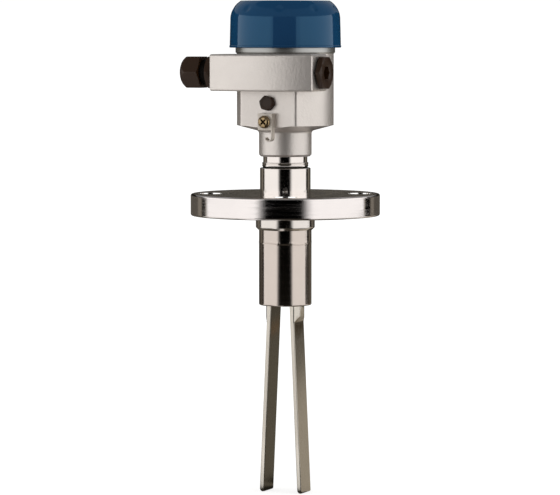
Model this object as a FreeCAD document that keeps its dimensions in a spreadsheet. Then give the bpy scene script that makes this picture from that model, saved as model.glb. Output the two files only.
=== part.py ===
"""Vibrating fork level switch with a bolted flange: parametric model in millimetres, +Z up.

The origin is the centre of the bolt circle on the flange's underside. The two cable entries lie along X,
the flat front with the earth terminal faces -Y, and the fork hangs down along -Z.
"""
import FreeCAD, Part
import math
import os
import types

import Sketcher

SIZES = {
    # Clearances
    "fit_gap": 0.05,
    "slide_gap": 0.3,
    "overcut": 1.0,
    # Flange
    "flange_radius": 76.2,
    "flange_thickness": 17.5,
    "flange_edge": 1.0,
    "face_margin": 4.75,
    "face_height": 1.6,
    "bolt_edge_distance": 15.875,
    "bolt_hole_radius": 9.525,
    "bolt_hole_count": 4,
    "bolt_hole_turn": 24.0,
    # Stem between flange and housing
    "stem_radius": 20.4,
    "stem_height": 20.9,
    "stem_bore_radius": 10.0,
    "stem_insert_length": 12.0,
    "bead_step": 1.7,
    "bead_height": 4.2,
    "spigot_step": 0.9,
    "spigot_reveal": 4.9,
    "spigot_depth": 18.0,
    "stud_wall": 3.0,
    "stud_reveal": 8.0,
    "seal_groove_depth": 1.9,
    "seal_groove_width": 2.4,
    "seal_groove_pitch": 6.0,
    "seal_groove_rise": 5.0,
    "neck_nut_height": 6.0,
    "neck_nut_wall": 5.5,
    "neck_nut_slot_width": 5.0,
    "neck_nut_slot_depth": 2.5,
    "neck_nut_slot_count": 4,
    # Housing casting
    "neck_wall": 3.4,
    "neck_length": 20.4,
    "neck_chamfer": 1.6,
    "cone_height": 4.7,
    "body_radius": 38.9,
    "body_height": 58.4,
    "rim_step": 1.1,
    "rim_height": 17.4,
    "body_wall": 4.4,
    "ledge_width": 6.3,
    "ledge_rise": 3.9,
    "floor_thickness": 6.8,
    "casting_round": 1.7,
    "neck_round": 2.5,
    "arm_inset": 0.3,
    "arm_height": 29.2,
    "arm_drop": 1.3,
    "arm_wall": 6.7,
    "arm_bow": 6.8,
    "arm_back_wall": 6.0,
    "arm_back_round": 5.0,
    "entry_inset": 6.9,
    "entry_thread_radius": 10.0,
    "pad_inset": 5.3,
    "pad_half_width": 22.9,
    "pad_round": 2.1,
    # Lid
    "lid_wall": 4.6,
    "lid_draft": 0.9,
    "lid_height": 37.6,
    "lid_reveal": 3.7,
    "lid_shoulder_inset": 8.4,
    "lid_shoulder_height": 10.7,
    "lid_shoulder_bulge": 1.1,
    "lid_roof": 3.9,
    "lid_seat_width": 4.5,
    "lid_inner_slope": 5.0,
    "lid_seal_thickness": 2.4,
    "lid_seal_width": 3.8,
    "dimple_radius": 8.0,
    "dimple_depth": 0.9,
    "dimple_count": 9,
    "dimple_turn": -72.5,
    # Cable gland and blanking plug, measured outward from the arm's end faces
    "entry_thread_length": 10.0,
    "washer_inset": 0.6,
    "washer_thickness": 1.5,
    "entry_hex_flats": 25.0,
    "hex_chamfer": 1.2,
    "gland_hex_height": 5.2,
    "gland_bore_radius": 6.5,
    "gland_sleeve_radius": 9.8,
    "gland_sleeve_length": 9.3,
    "gland_seat_radius": 8.3,
    "gland_nut_start": 12.2,
    "gland_nut_length": 17.7,
    "gland_nut_thread_length": 10.1,
    "gland_nut_hole_radius": 6.4,
    "gland_nut_lip": 2.0,
    "gland_nut_dome_length": 9.5,
    "gland_nut_end_radius": 8.6,
    "gland_nut_dome_bulge": 1.8,
    "gland_seal_bore_radius": 5.0,
    "gland_seal_start": 11.6,
    "gland_seal_shank_length": 7.6,
    "gland_seal_head_radius": 9.4,
    "gland_seal_tip_radius": 7.2,
    "plug_head_height": 4.2,
    "plug_socket_flats": 10.0,
    "plug_socket_depth": 7.0,
    # Hexagon plug on the flat front
    "side_plug_drop": 9.6,
    "side_plug_flats": 11.0,
    "side_plug_head": 4.2,
    "side_plug_turn": 45.0,
    "side_plug_shank_radius": 3.9,
    "side_plug_chamfer": 0.6,
    # Earth terminal on the flat front
    "earth_drop": 14.8,
    "earth_plate_width": 12.4,
    "earth_plate_height": 13.2,
    "earth_plate_lift": 5.4,
    "earth_sheet": 1.0,
    "earth_tail_width": 5.6,
    "earth_tail_length": 5.8,
    "earth_hook_radius": 3.2,
    "earth_washer_radius": 5.4,
    "earth_washer_thickness": 0.9,
    "earth_head_radius": 5.0,
    "earth_head_height": 2.6,
    "earth_rim_height": 1.3,
    "earth_crown_radius": 2.5,
    "earth_crown_bow": 0.43,
    "earth_recess_reach": 3.5,
    "earth_slot_width": 1.3,
    "earth_slot_turn": 45.0,
    "earth_slot_depth": 1.5,
    "earth_shank_radius": 2.4,
    "earth_shank_depth": 5.0,
    # Electronics insert
    "module_flange_height": 2.5,
    "module_cup_depth": 14.0,
    "module_cup_wall": 2.0,
    "module_cup_floor": 2.5,
    "module_lead_hole_radius": 7.5,
    "board_thickness": 1.6,
    "board_rise": 8.0,
    "board_ledge": 2.4,
    "cover_height": 3.0,
    "module_screw_inset": 3.3,
    "module_screw_count": 3,
    "module_screw_radius": 1.4,
    "module_screw_depth": 8.0,
    "module_screw_head_radius": 2.7,
    "module_screw_head_height": 1.9,
    "module_screw_slot_width": 0.8,
    "module_screw_slot_depth": 0.9,
    "terminal_count": 5,
    "terminal_pitch": 6.5,
    "terminal_end": 1.5,
    "terminal_depth": 13.0,
    "terminal_height": 13.0,
    "terminal_offset": 9.0,
    "terminal_wire_radius": 1.9,
    "terminal_wire_rise": 4.0,
    "terminal_wire_depth": 8.0,
    "terminal_screw_radius": 2.2,
    "terminal_screw_height": 4.0,
    "terminal_screw_sink": 0.8,
    "terminal_slot_width": 0.8,
    "terminal_slot_depth": 1.0,
    "slider_inset": 10.9,
    "slider_knob_length": 4.0,
    "slider_knob_width": 3.4,
    "slider_knob_proud": 2.2,
    "slider_foot_length": 9.0,
    "slider_foot_width": 5.0,
    "slider_foot_height": 1.2,
    "slider_travel": 3.0,
    "switch_length": 14.0,
    "switch_width": 7.0,
    "light_x": 14.0,
    "light_radius": 2.4,
    "light_proud": 2.4,
    # Fork head
    "fork_tube_radius": 21.2,
    "fork_tube_wall": 2.6,
    "fork_length_to_root": 70.7,
    "collar_wall": 2.6,
    "collar_height": 9.9,
    "collar_recess": 0.8,
    "collar_chamfer_height": 3.3,
    "collar_lip": 0.5,
    "collar_bow": 0.5,
    "diaphragm_thickness": 2.5,
    "diaphragm_edge": 1.0,
    "diaphragm_lip_height": 3.5,
    "diaphragm_lip_wall": 2.5,
    "tine_root_gap": 0.1,
    "tine_half_gap": 8.0,
    "tine_thickness": 3.4,
    "tine_width": 19.8,
    "tine_length": 151.8,
    "tine_splay_angle": 2.6,
    "tine_tip_chamfer": 0.8,
    "tine_foot_inset": 5.8,
    "tine_foot_height": 7.5,
    "tine_bevel_drop": 13.3,
    # Piezo drive inside the fork tube
    "drive_bolt_radius": 3.0,
    "drive_bolt_reveal": 2.0,
    "disc_hole_radius": 3.4,
    "pressure_ring_gap": 1.05,
    "pressure_ring_foot": 4.0,
    "pressure_ring_height": 8.0,
    "pressure_ring_web": 3.0,
    "pressure_ring_cone": 3.5,
    "disc_radius": 10.0,
    "insulator_thickness": 2.0,
    "piezo_thickness": 3.0,
    "piezo_count": 4,
    "contact_thickness": 0.5,
    "contact_tab_reach": 13.0,
    "contact_tab_width": 3.0,
    "clamp_nut_flats": 10.0,
    "clamp_nut_height": 6.0,
    "lead_radius": 0.8,
    "lead_circle": 5.5,
    "lead_gap": 2.0,
}

# Height of a quarter arc over its chord, as a share of its radius
QUARTER_HEIGHT = 1 - math.sqrt(0.5)
# Turns in degrees
FULL_TURN = 360.0
HALF_TURN = 180.0
QUARTER_TURN = 90.0
HEX_SIDES = 6
# Share of a lead's shorter run that a bend takes up
BEND_SHARE = 0.45
# Distance within which an edge counts as lying on a level
LEVEL_TOLERANCE = 1e-3


class Size:
    """A size that carries both its present value and the sheet expression behind it."""

    def __init__(self, value, text):
        self.value = value
        self.text = text

    def __add__(self, other):
        other = as_size(other)
        return Size(self.value + other.value, f"({self.text} + {other.text})")

    def __sub__(self, other):
        other = as_size(other)
        return Size(self.value - other.value, f"({self.text} - {other.text})")

    def __mul__(self, other):
        other = as_size(other)
        return Size(self.value * other.value, f"({self.text} * {other.text})")

    def __truediv__(self, other):
        other = as_size(other)
        return Size(self.value / other.value, f"({self.text} / {other.text})")

    def __neg__(self):
        return self * -1.0

    __radd__ = __add__
    __rmul__ = __mul__


def as_size(number):
    """Give a plain number the form of a Size."""
    return number if isinstance(number, Size) else Size(float(number), repr(float(number)))


def root(size):
    """Square root of a Size."""
    return Size(math.sqrt(size.value), f"sqrt({size.text})")


def sine(angle):
    """Sine of an angle in degrees."""
    return Size(math.sin(math.radians(angle.value)), f"sin({angle.text})")


def cosine(angle):
    """Cosine of an angle in degrees."""
    return Size(math.cos(math.radians(angle.value)), f"cos({angle.text})")


def tangent(angle):
    """Tangent of an angle in degrees."""
    return sine(angle) / cosine(angle)


doc = FreeCAD.newDocument("fork_level_switch")
sheet = doc.addObject("Spreadsheet::Sheet", "Sizes")
for row, (alias, number) in enumerate(SIZES.items(), start=1):
    sheet.set(f"A{row}", str(number))
    sheet.setAlias(f"A{row}", alias)
doc.recompute()

S = types.SimpleNamespace(**{name: Size(float(value), f"Sizes.{name}") for name, value in SIZES.items()})

# Radii of the flange and the stem
bolt_circle_radius = S.flange_radius - S.bolt_edge_distance
face_radius = bolt_circle_radius - S.bolt_hole_radius - S.face_margin
bead_radius = S.stem_radius - S.bead_step
spigot_radius = bead_radius - S.spigot_step
stud_radius = S.stem_bore_radius + S.stud_wall
neck_nut_radius = stud_radius + S.neck_nut_wall
neck_radius = spigot_radius + S.neck_wall

# Radii and reaches of the housing and the lid
rim_radius = S.body_radius + S.rim_step
chamber_radius = S.body_radius - S.body_wall
lower_chamber_radius = chamber_radius - S.ledge_width
lid_bore_radius = rim_radius + S.slide_gap
lid_radius = lid_bore_radius + S.lid_wall
lid_top_radius = lid_radius - S.lid_draft - S.lid_shoulder_inset
lid_inner_radius = rim_radius - S.lid_seat_width
lid_seal_inner_radius = rim_radius - S.lid_seal_width
arm_half_length = lid_radius - S.arm_inset
entry_offset = S.body_radius - S.entry_inset
arm_front = entry_offset + S.entry_thread_radius + S.arm_wall
arm_back = entry_offset - S.entry_thread_radius - S.arm_back_wall
pad_depth = S.body_radius - S.pad_inset
washer_radius = S.entry_hex_flats / 2 - S.washer_inset
module_screw_circle = chamber_radius - S.module_screw_inset

# Levels along Z, from the sealing face up to the lid
face_level = -S.face_height
flange_top = S.flange_thickness
stem_top = flange_top + S.stem_height
bead_top = stem_top + S.bead_height
neck_bottom = bead_top + S.spigot_reveal
spigot_top = neck_bottom + S.spigot_depth
neck_top = neck_bottom + S.neck_length
body_bottom = neck_top + S.cone_height
body_top = body_bottom + S.body_height
rim_top = body_top + S.rim_height
chamber_floor = body_bottom + S.floor_thickness
arm_top = body_top - S.arm_drop
arm_bottom = arm_top - S.arm_height
ledge = arm_bottom + S.ledge_rise
entry_level = arm_bottom + S.arm_height / 2
side_plug_level = arm_bottom - S.side_plug_drop
earth_level = side_plug_level - S.earth_drop
lid_bottom = body_top + S.lid_reveal
lid_top = lid_bottom + S.lid_height
lid_seat = rim_top + S.lid_seal_thickness

# Levels inside the electronics insert
cover_bottom = ledge + S.module_flange_height
cover_top = cover_bottom + S.cover_height
cup_bottom = ledge - S.module_cup_depth
board_bottom = cup_bottom + S.board_rise
board_top = board_bottom + S.board_thickness
insert_radius = chamber_radius - S.slide_gap
cup_radius = lower_chamber_radius - S.slide_gap
cup_inner_radius = cup_radius - S.module_cup_wall
slider_offset = cup_inner_radius - S.slider_inset

# Levels below the flange, down to the tips, and up the piezo stack
fork_bore_radius = S.fork_tube_radius - S.fork_tube_wall
collar_radius = S.fork_tube_radius + S.collar_wall
lip_outer_radius = fork_bore_radius - S.fit_gap
lip_inner_radius = lip_outer_radius - S.diaphragm_lip_wall
pressure_ring_radius = lip_inner_radius - S.pressure_ring_gap
tine_foot_radius = S.fork_tube_radius - S.tine_foot_inset
lead_start = S.disc_radius + S.lead_gap
collar_seat = face_level + S.collar_recess
insert_bottom = face_level - S.stem_insert_length
diaphragm_bottom = face_level - S.fork_length_to_root
diaphragm_top = diaphragm_bottom + S.diaphragm_thickness
tine_root = diaphragm_bottom - S.tine_root_gap
tine_tip = diaphragm_bottom - S.tine_length
stack_bottom = diaphragm_top + S.pressure_ring_height
piezo_bottom = stack_bottom + S.insulator_thickness
piezo_step = S.piezo_thickness + S.contact_thickness
piezo_top = piezo_bottom + piezo_step * S.piezo_count - S.contact_thickness
stack_top = piezo_top + S.insulator_thickness
clamp_nut_top = stack_top + S.clamp_nut_height


def bind(target, path, size):
    """Tie a property of an object to a sheet expression."""
    target.setExpression(path, as_size(size).text)


def place(target, x=0.0, y=0.0, z=0.0, axis=(0, 0, 1), angle=0.0):
    """Set an object's place, each coordinate tied to the sheet."""
    target.Placement = FreeCAD.Placement(FreeCAD.Vector(), FreeCAD.Rotation(FreeCAD.Vector(*axis), angle))
    for name, size in (("x", x), ("y", y), ("z", z)):
        bind(target, f"Placement.Base.{name}", size)
    return target


def new_body(label):
    """Start a piece of its own."""
    body = doc.addObject("PartDesign::Body", label)
    body.Label = label
    return body


def origin_feature(body, role):
    """Find one of a body's own origin planes or axes."""
    return next(item for item in body.Origin.OriginFeatures if item.Role == role)


def new_sketch(body, name, plane, offset=0.0):
    """Attach a sketch to one of a body's origin planes, moved along the plane's normal."""
    drawing = body.newObject("Sketcher::SketchObject", name)
    drawing.AttachmentSupport = [(origin_feature(body, plane), "")]
    drawing.MapMode = "FlatFace"
    bind(drawing, "AttachmentOffset.Base.z", offset)
    return drawing


def constrain(drawing, constraint, size):
    """Add a measured constraint tied to the sheet."""
    index = drawing.addConstraint(constraint)
    drawing.setExpression(f"Constraints[{index}]", size.text)


def fix_point(drawing, geometry, position, point):
    """Hold a point of a sketch at a measured place from the sketch's origin."""
    for kind, size in zip(("DistanceX", "DistanceY"), point):
        size = as_size(size)
        constrain(drawing, Sketcher.Constraint(kind, -1, 1, geometry, position, size.value), size)


def add_outline(drawing, points, bulges):
    """Draw a closed outline. bulges gives the height of an arc on a side, outward on a left-hand run."""
    corners = [FreeCAD.Vector(as_size(x).value, as_size(y).value, 0) for x, y in points]
    starts = []
    for side, start in enumerate(corners):
        end = corners[(side + 1) % len(corners)]
        if side in bulges:
            run = end - start
            outward = FreeCAD.Vector(run.y, -run.x, 0).normalize()
            height = bulges[side].value
            geometry = drawing.addGeometry(Part.Arc(start, (start + end) / 2 + outward * height, end))
            starts.append((geometry, 1 if height > 0 else 2))
        else:
            starts.append((drawing.addGeometry(Part.LineSegment(start, end)), 1))
    for side, (geometry, position) in enumerate(starts):
        following = starts[(side + 1) % len(starts)]
        drawing.addConstraint(Sketcher.Constraint("Coincident", geometry, 3 - position, *following))
        fix_point(drawing, geometry, position, points[side])
        if side in bulges:
            fix_centre(drawing, geometry, points[side], points[(side + 1) % len(points)], bulges[side])


def fix_centre(drawing, geometry, start, end, height):
    """Hold an arc's centre where its chord and height put it."""
    dx = as_size(end[0]) - start[0]
    dy = as_size(end[1]) - start[1]
    square = dx * dx + dy * dy
    reach = (height / 2 - square / (height * 8)) / root(square)
    if abs(dx.value) > abs(dy.value):
        kind, size = "DistanceY", start[1] + dy / 2 - dx * reach
    else:
        kind, size = "DistanceX", start[0] + dx / 2 + dy * reach
    constrain(drawing, Sketcher.Constraint(kind, -1, 1, geometry, 3, size.value), size)


def add_circle(drawing, x, y, radius):
    """Draw a measured circle."""
    centre = FreeCAD.Vector(as_size(x).value, as_size(y).value, 0)
    geometry = drawing.addGeometry(Part.Circle(centre, FreeCAD.Vector(0, 0, 1), radius.value))
    fix_point(drawing, geometry, 3, (x, y))
    constrain(drawing, Sketcher.Constraint("Radius", geometry, radius.value), radius)


def turned(body, name, points, bulges=None, axis="V_Axis", cut=False):
    """Revolve a profile drawn in the XZ plane, to add material or to cut it away."""
    drawing = new_sketch(body, name + "_profile", "XZ_Plane")
    add_outline(drawing, points, bulges or {})
    feature = body.newObject("PartDesign::Groove" if cut else "PartDesign::Revolution", name)
    feature.Profile = drawing
    feature.ReferenceAxis = (drawing, [axis])
    feature.Angle = FULL_TURN
    return feature


def extruded(body, name, plane, offset, length, points=None, bulges=None, circles=(), cut=False):
    """Extrude a drawing along its plane's normal, or cut it the other way."""
    drawing = new_sketch(body, name + "_drawing", plane, offset)
    if points:
        add_outline(drawing, points, bulges or {})
    for x, y, radius in circles:
        add_circle(drawing, x, y, radius)
    feature = body.newObject("PartDesign::Pocket" if cut else "PartDesign::Pad", name)
    feature.Profile = drawing
    bind(feature, "Length", length)
    return feature


def patterned(body, name, original, count):
    """Repeat a feature evenly round the body's Z axis."""
    feature = body.newObject("PartDesign::PolarPattern", name)
    feature.Originals = [original]
    feature.Axis = (origin_feature(body, "Z_Axis"), [""])
    feature.Angle = FULL_TURN
    bind(feature, "Occurrences", count)
    body.Tip = feature
    return feature


def rounded(body, name, radius, wanted):
    """Round every edge of the body that the test picks by the middle of its run."""
    doc.recompute()
    base = body.Tip
    picked = []
    for number, edge in enumerate(base.Shape.Edges, start=1):
        if wanted(edge.valueAt((edge.FirstParameter + edge.LastParameter) / 2), edge):
            picked.append(f"Edge{number}")
    feature = body.newObject("PartDesign::Fillet", name)
    feature.Base = (base, picked)
    bind(feature, "Radius", radius)
    return feature


def close_to(value, size):
    """Tell whether a coordinate lies on a level."""
    return abs(value - as_size(size).value) < LEVEL_TOLERANCE


def rectangle(left, bottom, right, top):
    """Corners of an upright rectangle."""
    return [(left, bottom), (right, bottom), (right, top), (left, top)]


def spun(points, angle):
    """Corners turned about the sketch's origin."""
    along = cosine(angle)
    across = sine(angle)
    return [(x * along - y * across, x * across + y * along) for x, y in points]


def hex_corner(flats):
    """Distance from a hexagon's middle to its corners."""
    return flats / math.sqrt(3)


def hexagon(flats, turn=0.0):
    """Corners of a regular hexagon about the sketch's origin, the first at the given angle."""
    corner = hex_corner(flats)
    angles = [as_size(turn) + FULL_TURN / HEX_SIDES * index for index in range(HEX_SIDES)]
    return [(corner * cosine(angle), corner * sine(angle)) for angle in angles]


def plain_ring(label, inner, outer, low, high):
    """A plain turned ring about Z."""
    body = new_body(label)
    turned(body, label + "_ring", rectangle(inner, low, outer, high))
    return body


def loose_ring(name, inner, outer, low, height):
    """A ring as one member of a group."""
    members = []
    for part, radius in (("outer", outer), ("inner", inner)):
        cylinder = doc.addObject("Part::Cylinder", f"{name}_{part}")
        bind(cylinder, "Radius", radius)
        bind(cylinder, "Height", height)
        members.append(place(cylinder, z=low))
    cut = doc.addObject("Part::Cut", name)
    cut.Base, cut.Tool = members
    return cut


def loose_box(name, length, width, height, x, y, z):
    """A box as one member of a group, placed by its low corner."""
    box = doc.addObject("Part::Box", name)
    for path, size in (("Length", length), ("Width", width), ("Height", height)):
        bind(box, path, size)
    return place(box, x, y, z)


def group(label, members):
    """Several like solids that share one node."""
    compound = doc.addObject("Part::Compound", label)
    compound.Label = label
    compound.Links = members
    return compound


def make_flange():
    """Turned flange with a raised sealing face and bolt holes."""
    body = new_body("flange")
    bore = S.stem_radius + S.fit_gap
    recess = collar_radius + S.fit_gap
    turned(body, "flange_plate", [
        (bore, collar_seat),
        (recess, collar_seat),
        (recess, face_level),
        (face_radius, face_level),
        (face_radius, 0.0),
        (S.flange_radius - S.flange_edge, 0.0),
        (S.flange_radius, S.flange_edge),
        (S.flange_radius, flange_top - S.flange_edge),
        (S.flange_radius - S.flange_edge, flange_top),
        (bore, flange_top),
    ])
    hole = extruded(
        body, "bolt_hole", "XY_Plane", flange_top + S.overcut, S.flange_thickness + S.overcut * 2, cut=True,
        circles=[(bolt_circle_radius * cosine(S.bolt_hole_turn),
                  bolt_circle_radius * sine(S.bolt_hole_turn), S.bolt_hole_radius)])
    patterned(body, "bolt_holes", hole, S.bolt_hole_count)
    return body


def seal_groove_levels():
    """Lower edges of the two seal grooves on the spigot."""
    first = neck_bottom + S.seal_groove_rise
    return first, first + S.seal_groove_pitch


def make_upper_tube():
    """Stem in one turned piece: insert, tube, bead, grooved spigot and threaded stud."""
    body = new_body("upper_tube")
    insert = fork_bore_radius - S.fit_gap
    groove = spigot_radius - S.seal_groove_depth
    points = [
        (S.stem_bore_radius, insert_bottom),
        (insert, insert_bottom),
        (insert, face_level),
        (S.stem_radius, face_level),
        (S.stem_radius, stem_top - S.stem_radius + bead_radius),
        (bead_radius, stem_top),
        (bead_radius, bead_top),
        (spigot_radius, bead_top),
    ]
    for level in seal_groove_levels():
        points += [
            (spigot_radius, level),
            (groove, level),
            (groove, level + S.seal_groove_width),
            (spigot_radius, level + S.seal_groove_width),
        ]
    points += [
        (spigot_radius, spigot_top - S.fit_gap),
        (stud_radius, spigot_top - S.fit_gap),
        (stud_radius, chamber_floor + S.stud_reveal),
        (S.stem_bore_radius, chamber_floor + S.stud_reveal),
    ]
    turned(body, "stem", points)
    return body


def make_neck_seals():
    """Two round-section rings in the spigot's grooves."""
    rings = []
    section = S.seal_groove_depth / 2 - S.fit_gap
    for index, level in enumerate(seal_groove_levels()):
        seal = doc.addObject("Part::Torus", f"neck_seal_{index}")
        bind(seal, "Radius1", spigot_radius - S.seal_groove_depth / 2)
        bind(seal, "Radius2", section)
        rings.append(place(seal, z=level + S.seal_groove_width / 2))
    return group("neck_seals", rings)


def make_neck_nut():
    """Slotted ring nut that clamps the housing on the stem from inside."""
    body = new_body("neck_nut")
    top = chamber_floor + S.neck_nut_height
    turned(body, "nut_ring", rectangle(stud_radius + S.fit_gap, chamber_floor, neck_nut_radius, top))
    half = S.neck_nut_slot_width / 2
    slot = extruded(
        body, "nut_slot", "XY_Plane", top, S.neck_nut_slot_depth, cut=True,
        points=rectangle(stud_radius, -half, neck_nut_radius + S.overcut, half))
    patterned(body, "nut_slots", slot, S.neck_nut_slot_count)
    return body


def make_housing():
    """Die-cast housing: turned shell, bowed entry arm, flat front, two chambers and entry bores."""
    body = new_body("housing")
    turned(body, "shell", [
        (0.0, neck_bottom),
        (neck_radius - S.neck_chamfer, neck_bottom),
        (neck_radius, neck_bottom + S.neck_chamfer),
        (neck_radius, neck_top),
        (S.body_radius, body_bottom),
        (S.body_radius, body_top - S.rim_step),
        (rim_radius, body_top),
        (rim_radius, rim_top),
        (0.0, rim_top),
    ])
    half = arm_half_length
    corner = S.arm_back_round
    extruded(body, "arm", "XY_Plane", arm_bottom, S.arm_height, points=[
        (-half, -arm_front),
        (half, -arm_front),
        (half, -arm_back - corner),
        (half - corner, -arm_back),
        (corner - half, -arm_back),
        (-half, -arm_back - corner),
    ], bulges={0: S.arm_bow, 2: corner * QUARTER_HEIGHT, 4: corner * QUARTER_HEIGHT})
    extruded(
        body, "front_pad", "XY_Plane", body_bottom, arm_bottom - body_bottom,
        points=rectangle(-S.pad_half_width, -S.body_radius, S.pad_half_width, -pad_depth / 2))
    extruded(
        body, "front_flat", "XY_Plane", arm_bottom, arm_bottom - neck_top, cut=True,
        points=rectangle(-S.body_radius, -S.body_radius - S.overcut, S.body_radius, -pad_depth))
    round_casting(body)
    turned(body, "chambers", [
        (0.0, neck_bottom - S.overcut),
        (spigot_radius + S.fit_gap, neck_bottom - S.overcut),
        (spigot_radius + S.fit_gap, spigot_top),
        (stud_radius + S.fit_gap, spigot_top),
        (stud_radius + S.fit_gap, chamber_floor),
        (lower_chamber_radius, chamber_floor),
        (lower_chamber_radius, ledge),
        (chamber_radius, ledge),
        (chamber_radius, rim_top + S.overcut),
        (0.0, rim_top + S.overcut),
    ], cut=True)
    extruded(
        body, "entry_bore", "YZ_Plane", arm_half_length + S.overcut,
        (arm_half_length + S.overcut) * 2, cut=True,
        circles=[(-entry_offset, entry_level, S.entry_thread_radius)])
    extruded(
        body, "side_plug_hole", "XZ_Plane", pad_depth, pad_depth - lower_chamber_radius / 2, cut=True,
        circles=[(0.0, side_plug_level, S.side_plug_shank_radius + S.fit_gap)])
    extruded(
        body, "earth_hole", "XZ_Plane", pad_depth, S.earth_shank_depth + S.overcut, cut=True,
        circles=[(0.0, earth_level, S.earth_shank_radius + S.fit_gap)])
    screw_hole = extruded(
        body, "insert_screw_hole", "XY_Plane", ledge, S.module_screw_depth + S.overcut, cut=True,
        circles=[(0.0, module_screw_circle, S.module_screw_radius + S.fit_gap)])
    patterned(body, "insert_screw_holes", screw_hole, S.module_screw_count)
    return body


def round_casting(body):
    """Round the casting's outer corners."""
    half = arm_half_length
    rounded(body, "arm_rounds", S.casting_round, lambda middle, edge: (
        middle.y < -arm_back.value - S.arm_back_round.value
        and (close_to(middle.z, arm_top) or close_to(middle.z, arm_bottom))
        and math.hypot(middle.x, middle.y) > rim_radius.value + S.overcut.value
        or close_to(abs(middle.x), half) and close_to(middle.y, -arm_front)
        and close_to(middle.z, entry_level)))
    rounded(body, "pad_rounds", S.pad_round, lambda middle, edge: (
        close_to(abs(middle.x), S.pad_half_width) and close_to(middle.y, -pad_depth)))
    rounded(body, "neck_round", S.neck_round, lambda middle, edge: (
        close_to(middle.z, neck_top) and close_to(math.hypot(middle.x, middle.y), neck_radius)
        and edge.Length > neck_radius.value * math.pi))


def make_lid():
    """Screw lid with a rounded shoulder and a ring of grip dimples."""
    body = new_body("lid")
    skirt_top_radius = lid_radius - S.lid_draft
    shoulder = lid_top - S.lid_shoulder_height
    roof = lid_top - S.lid_roof
    turned(body, "lid_shell", [
        (lid_bore_radius, lid_bottom),
        (lid_radius, lid_bottom),
        (skirt_top_radius, shoulder),
        (lid_top_radius, lid_top),
        (0.0, lid_top),
        (0.0, roof),
        (lid_inner_radius - S.lid_inner_slope, roof),
        (lid_inner_radius, roof - S.lid_inner_slope),
        (lid_inner_radius, lid_seat),
        (lid_bore_radius, lid_seat),
    ], bulges={2: S.lid_shoulder_bulge})
    inset = skirt_top_radius - lid_top_radius
    slant = root(inset * inset + S.lid_shoulder_height * S.lid_shoulder_height)
    reach = S.lid_shoulder_bulge + S.dimple_radius - S.dimple_depth
    middle_radius = (skirt_top_radius + lid_top_radius) / 2 + reach * S.lid_shoulder_height / slant
    middle_level = shoulder + S.lid_shoulder_height / 2 + reach * inset / slant
    dimple = body.newObject("PartDesign::SubtractiveSphere", "grip_dimple")
    dimple.AttachmentSupport = [(origin_feature(body, "XY_Plane"), "")]
    dimple.MapMode = "FlatFace"
    bind(dimple, "Radius", S.dimple_radius)
    bind(dimple, "AttachmentOffset.Base.x", middle_radius * cosine(S.dimple_turn))
    bind(dimple, "AttachmentOffset.Base.y", middle_radius * sine(S.dimple_turn))
    bind(dimple, "AttachmentOffset.Base.z", middle_level)
    patterned(body, "grip_dimples", dimple, S.dimple_count)
    return body


def make_lid_seal():
    """Flat ring that the lid presses on the rim."""
    return plain_ring("lid_seal", lid_seal_inner_radius, rim_radius, rim_top, lid_seat)


def at_entry(body, side):
    """Place a piece made along +X at the left (-1) or right (1) cable entry."""
    turn = 0.0 if side > 0 else HALF_TURN
    return place(body, arm_half_length * side, -entry_offset, entry_level, angle=turn)


def make_entry_washer(label, side):
    """Flat sealing ring between an entry piece and the arm."""
    body = new_body(label)
    turned(body, label + "_ring", rectangle(
        0.0, S.entry_thread_radius, S.washer_thickness, washer_radius), axis="H_Axis")
    return at_entry(body, side)


def chamfer_hexagon(body, name, flats, face, depth, axis):
    """Turn the corners off a hexagon's face, on the side away from the sketch's origin."""
    corner = hex_corner(flats)
    low = (face - depth, corner + S.overcut)
    tip = (face + S.overcut, corner + S.overcut)
    points = [low, tip, (face + S.overcut, flats / 2), (face, flats / 2), (face - depth, corner)]
    if axis == "V_Axis":
        points = [(across, along) for along, across in points]
    turned(body, name, points, axis=axis, cut=True)


def make_gland_body():
    """Gland body: entry thread, hexagon and the sleeve that takes the nut and seal."""
    body = new_body("gland_body")
    hex_top = S.washer_thickness + S.gland_hex_height
    sleeve_top = hex_top + S.gland_sleeve_length
    thread = S.entry_thread_radius - S.fit_gap
    turned(body, "gland_tube", [
        (-S.entry_thread_length, S.gland_bore_radius),
        (hex_top, S.gland_bore_radius),
        (hex_top, S.gland_seat_radius),
        (sleeve_top, S.gland_seat_radius),
        (sleeve_top, S.gland_sleeve_radius),
        (hex_top - S.gland_hex_height / 2, S.gland_sleeve_radius),
        (hex_top - S.gland_hex_height / 2, thread),
        (-S.entry_thread_length, thread),
    ], axis="H_Axis")
    extruded(body, "gland_hexagon", "YZ_Plane", S.washer_thickness, S.gland_hex_height,
             points=hexagon(S.entry_hex_flats), circles=[(0.0, 0.0, S.gland_seat_radius)])
    chamfer_hexagon(body, "gland_hex_chamfer", S.entry_hex_flats, hex_top, S.hex_chamfer, "H_Axis")
    return at_entry(body, -1)


def gland_nut_cone():
    """Start and end of the cone inside the nut, along the entry."""
    start = S.gland_nut_start + S.gland_nut_thread_length
    return start, S.gland_nut_start + S.gland_nut_length - S.gland_nut_lip


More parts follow.
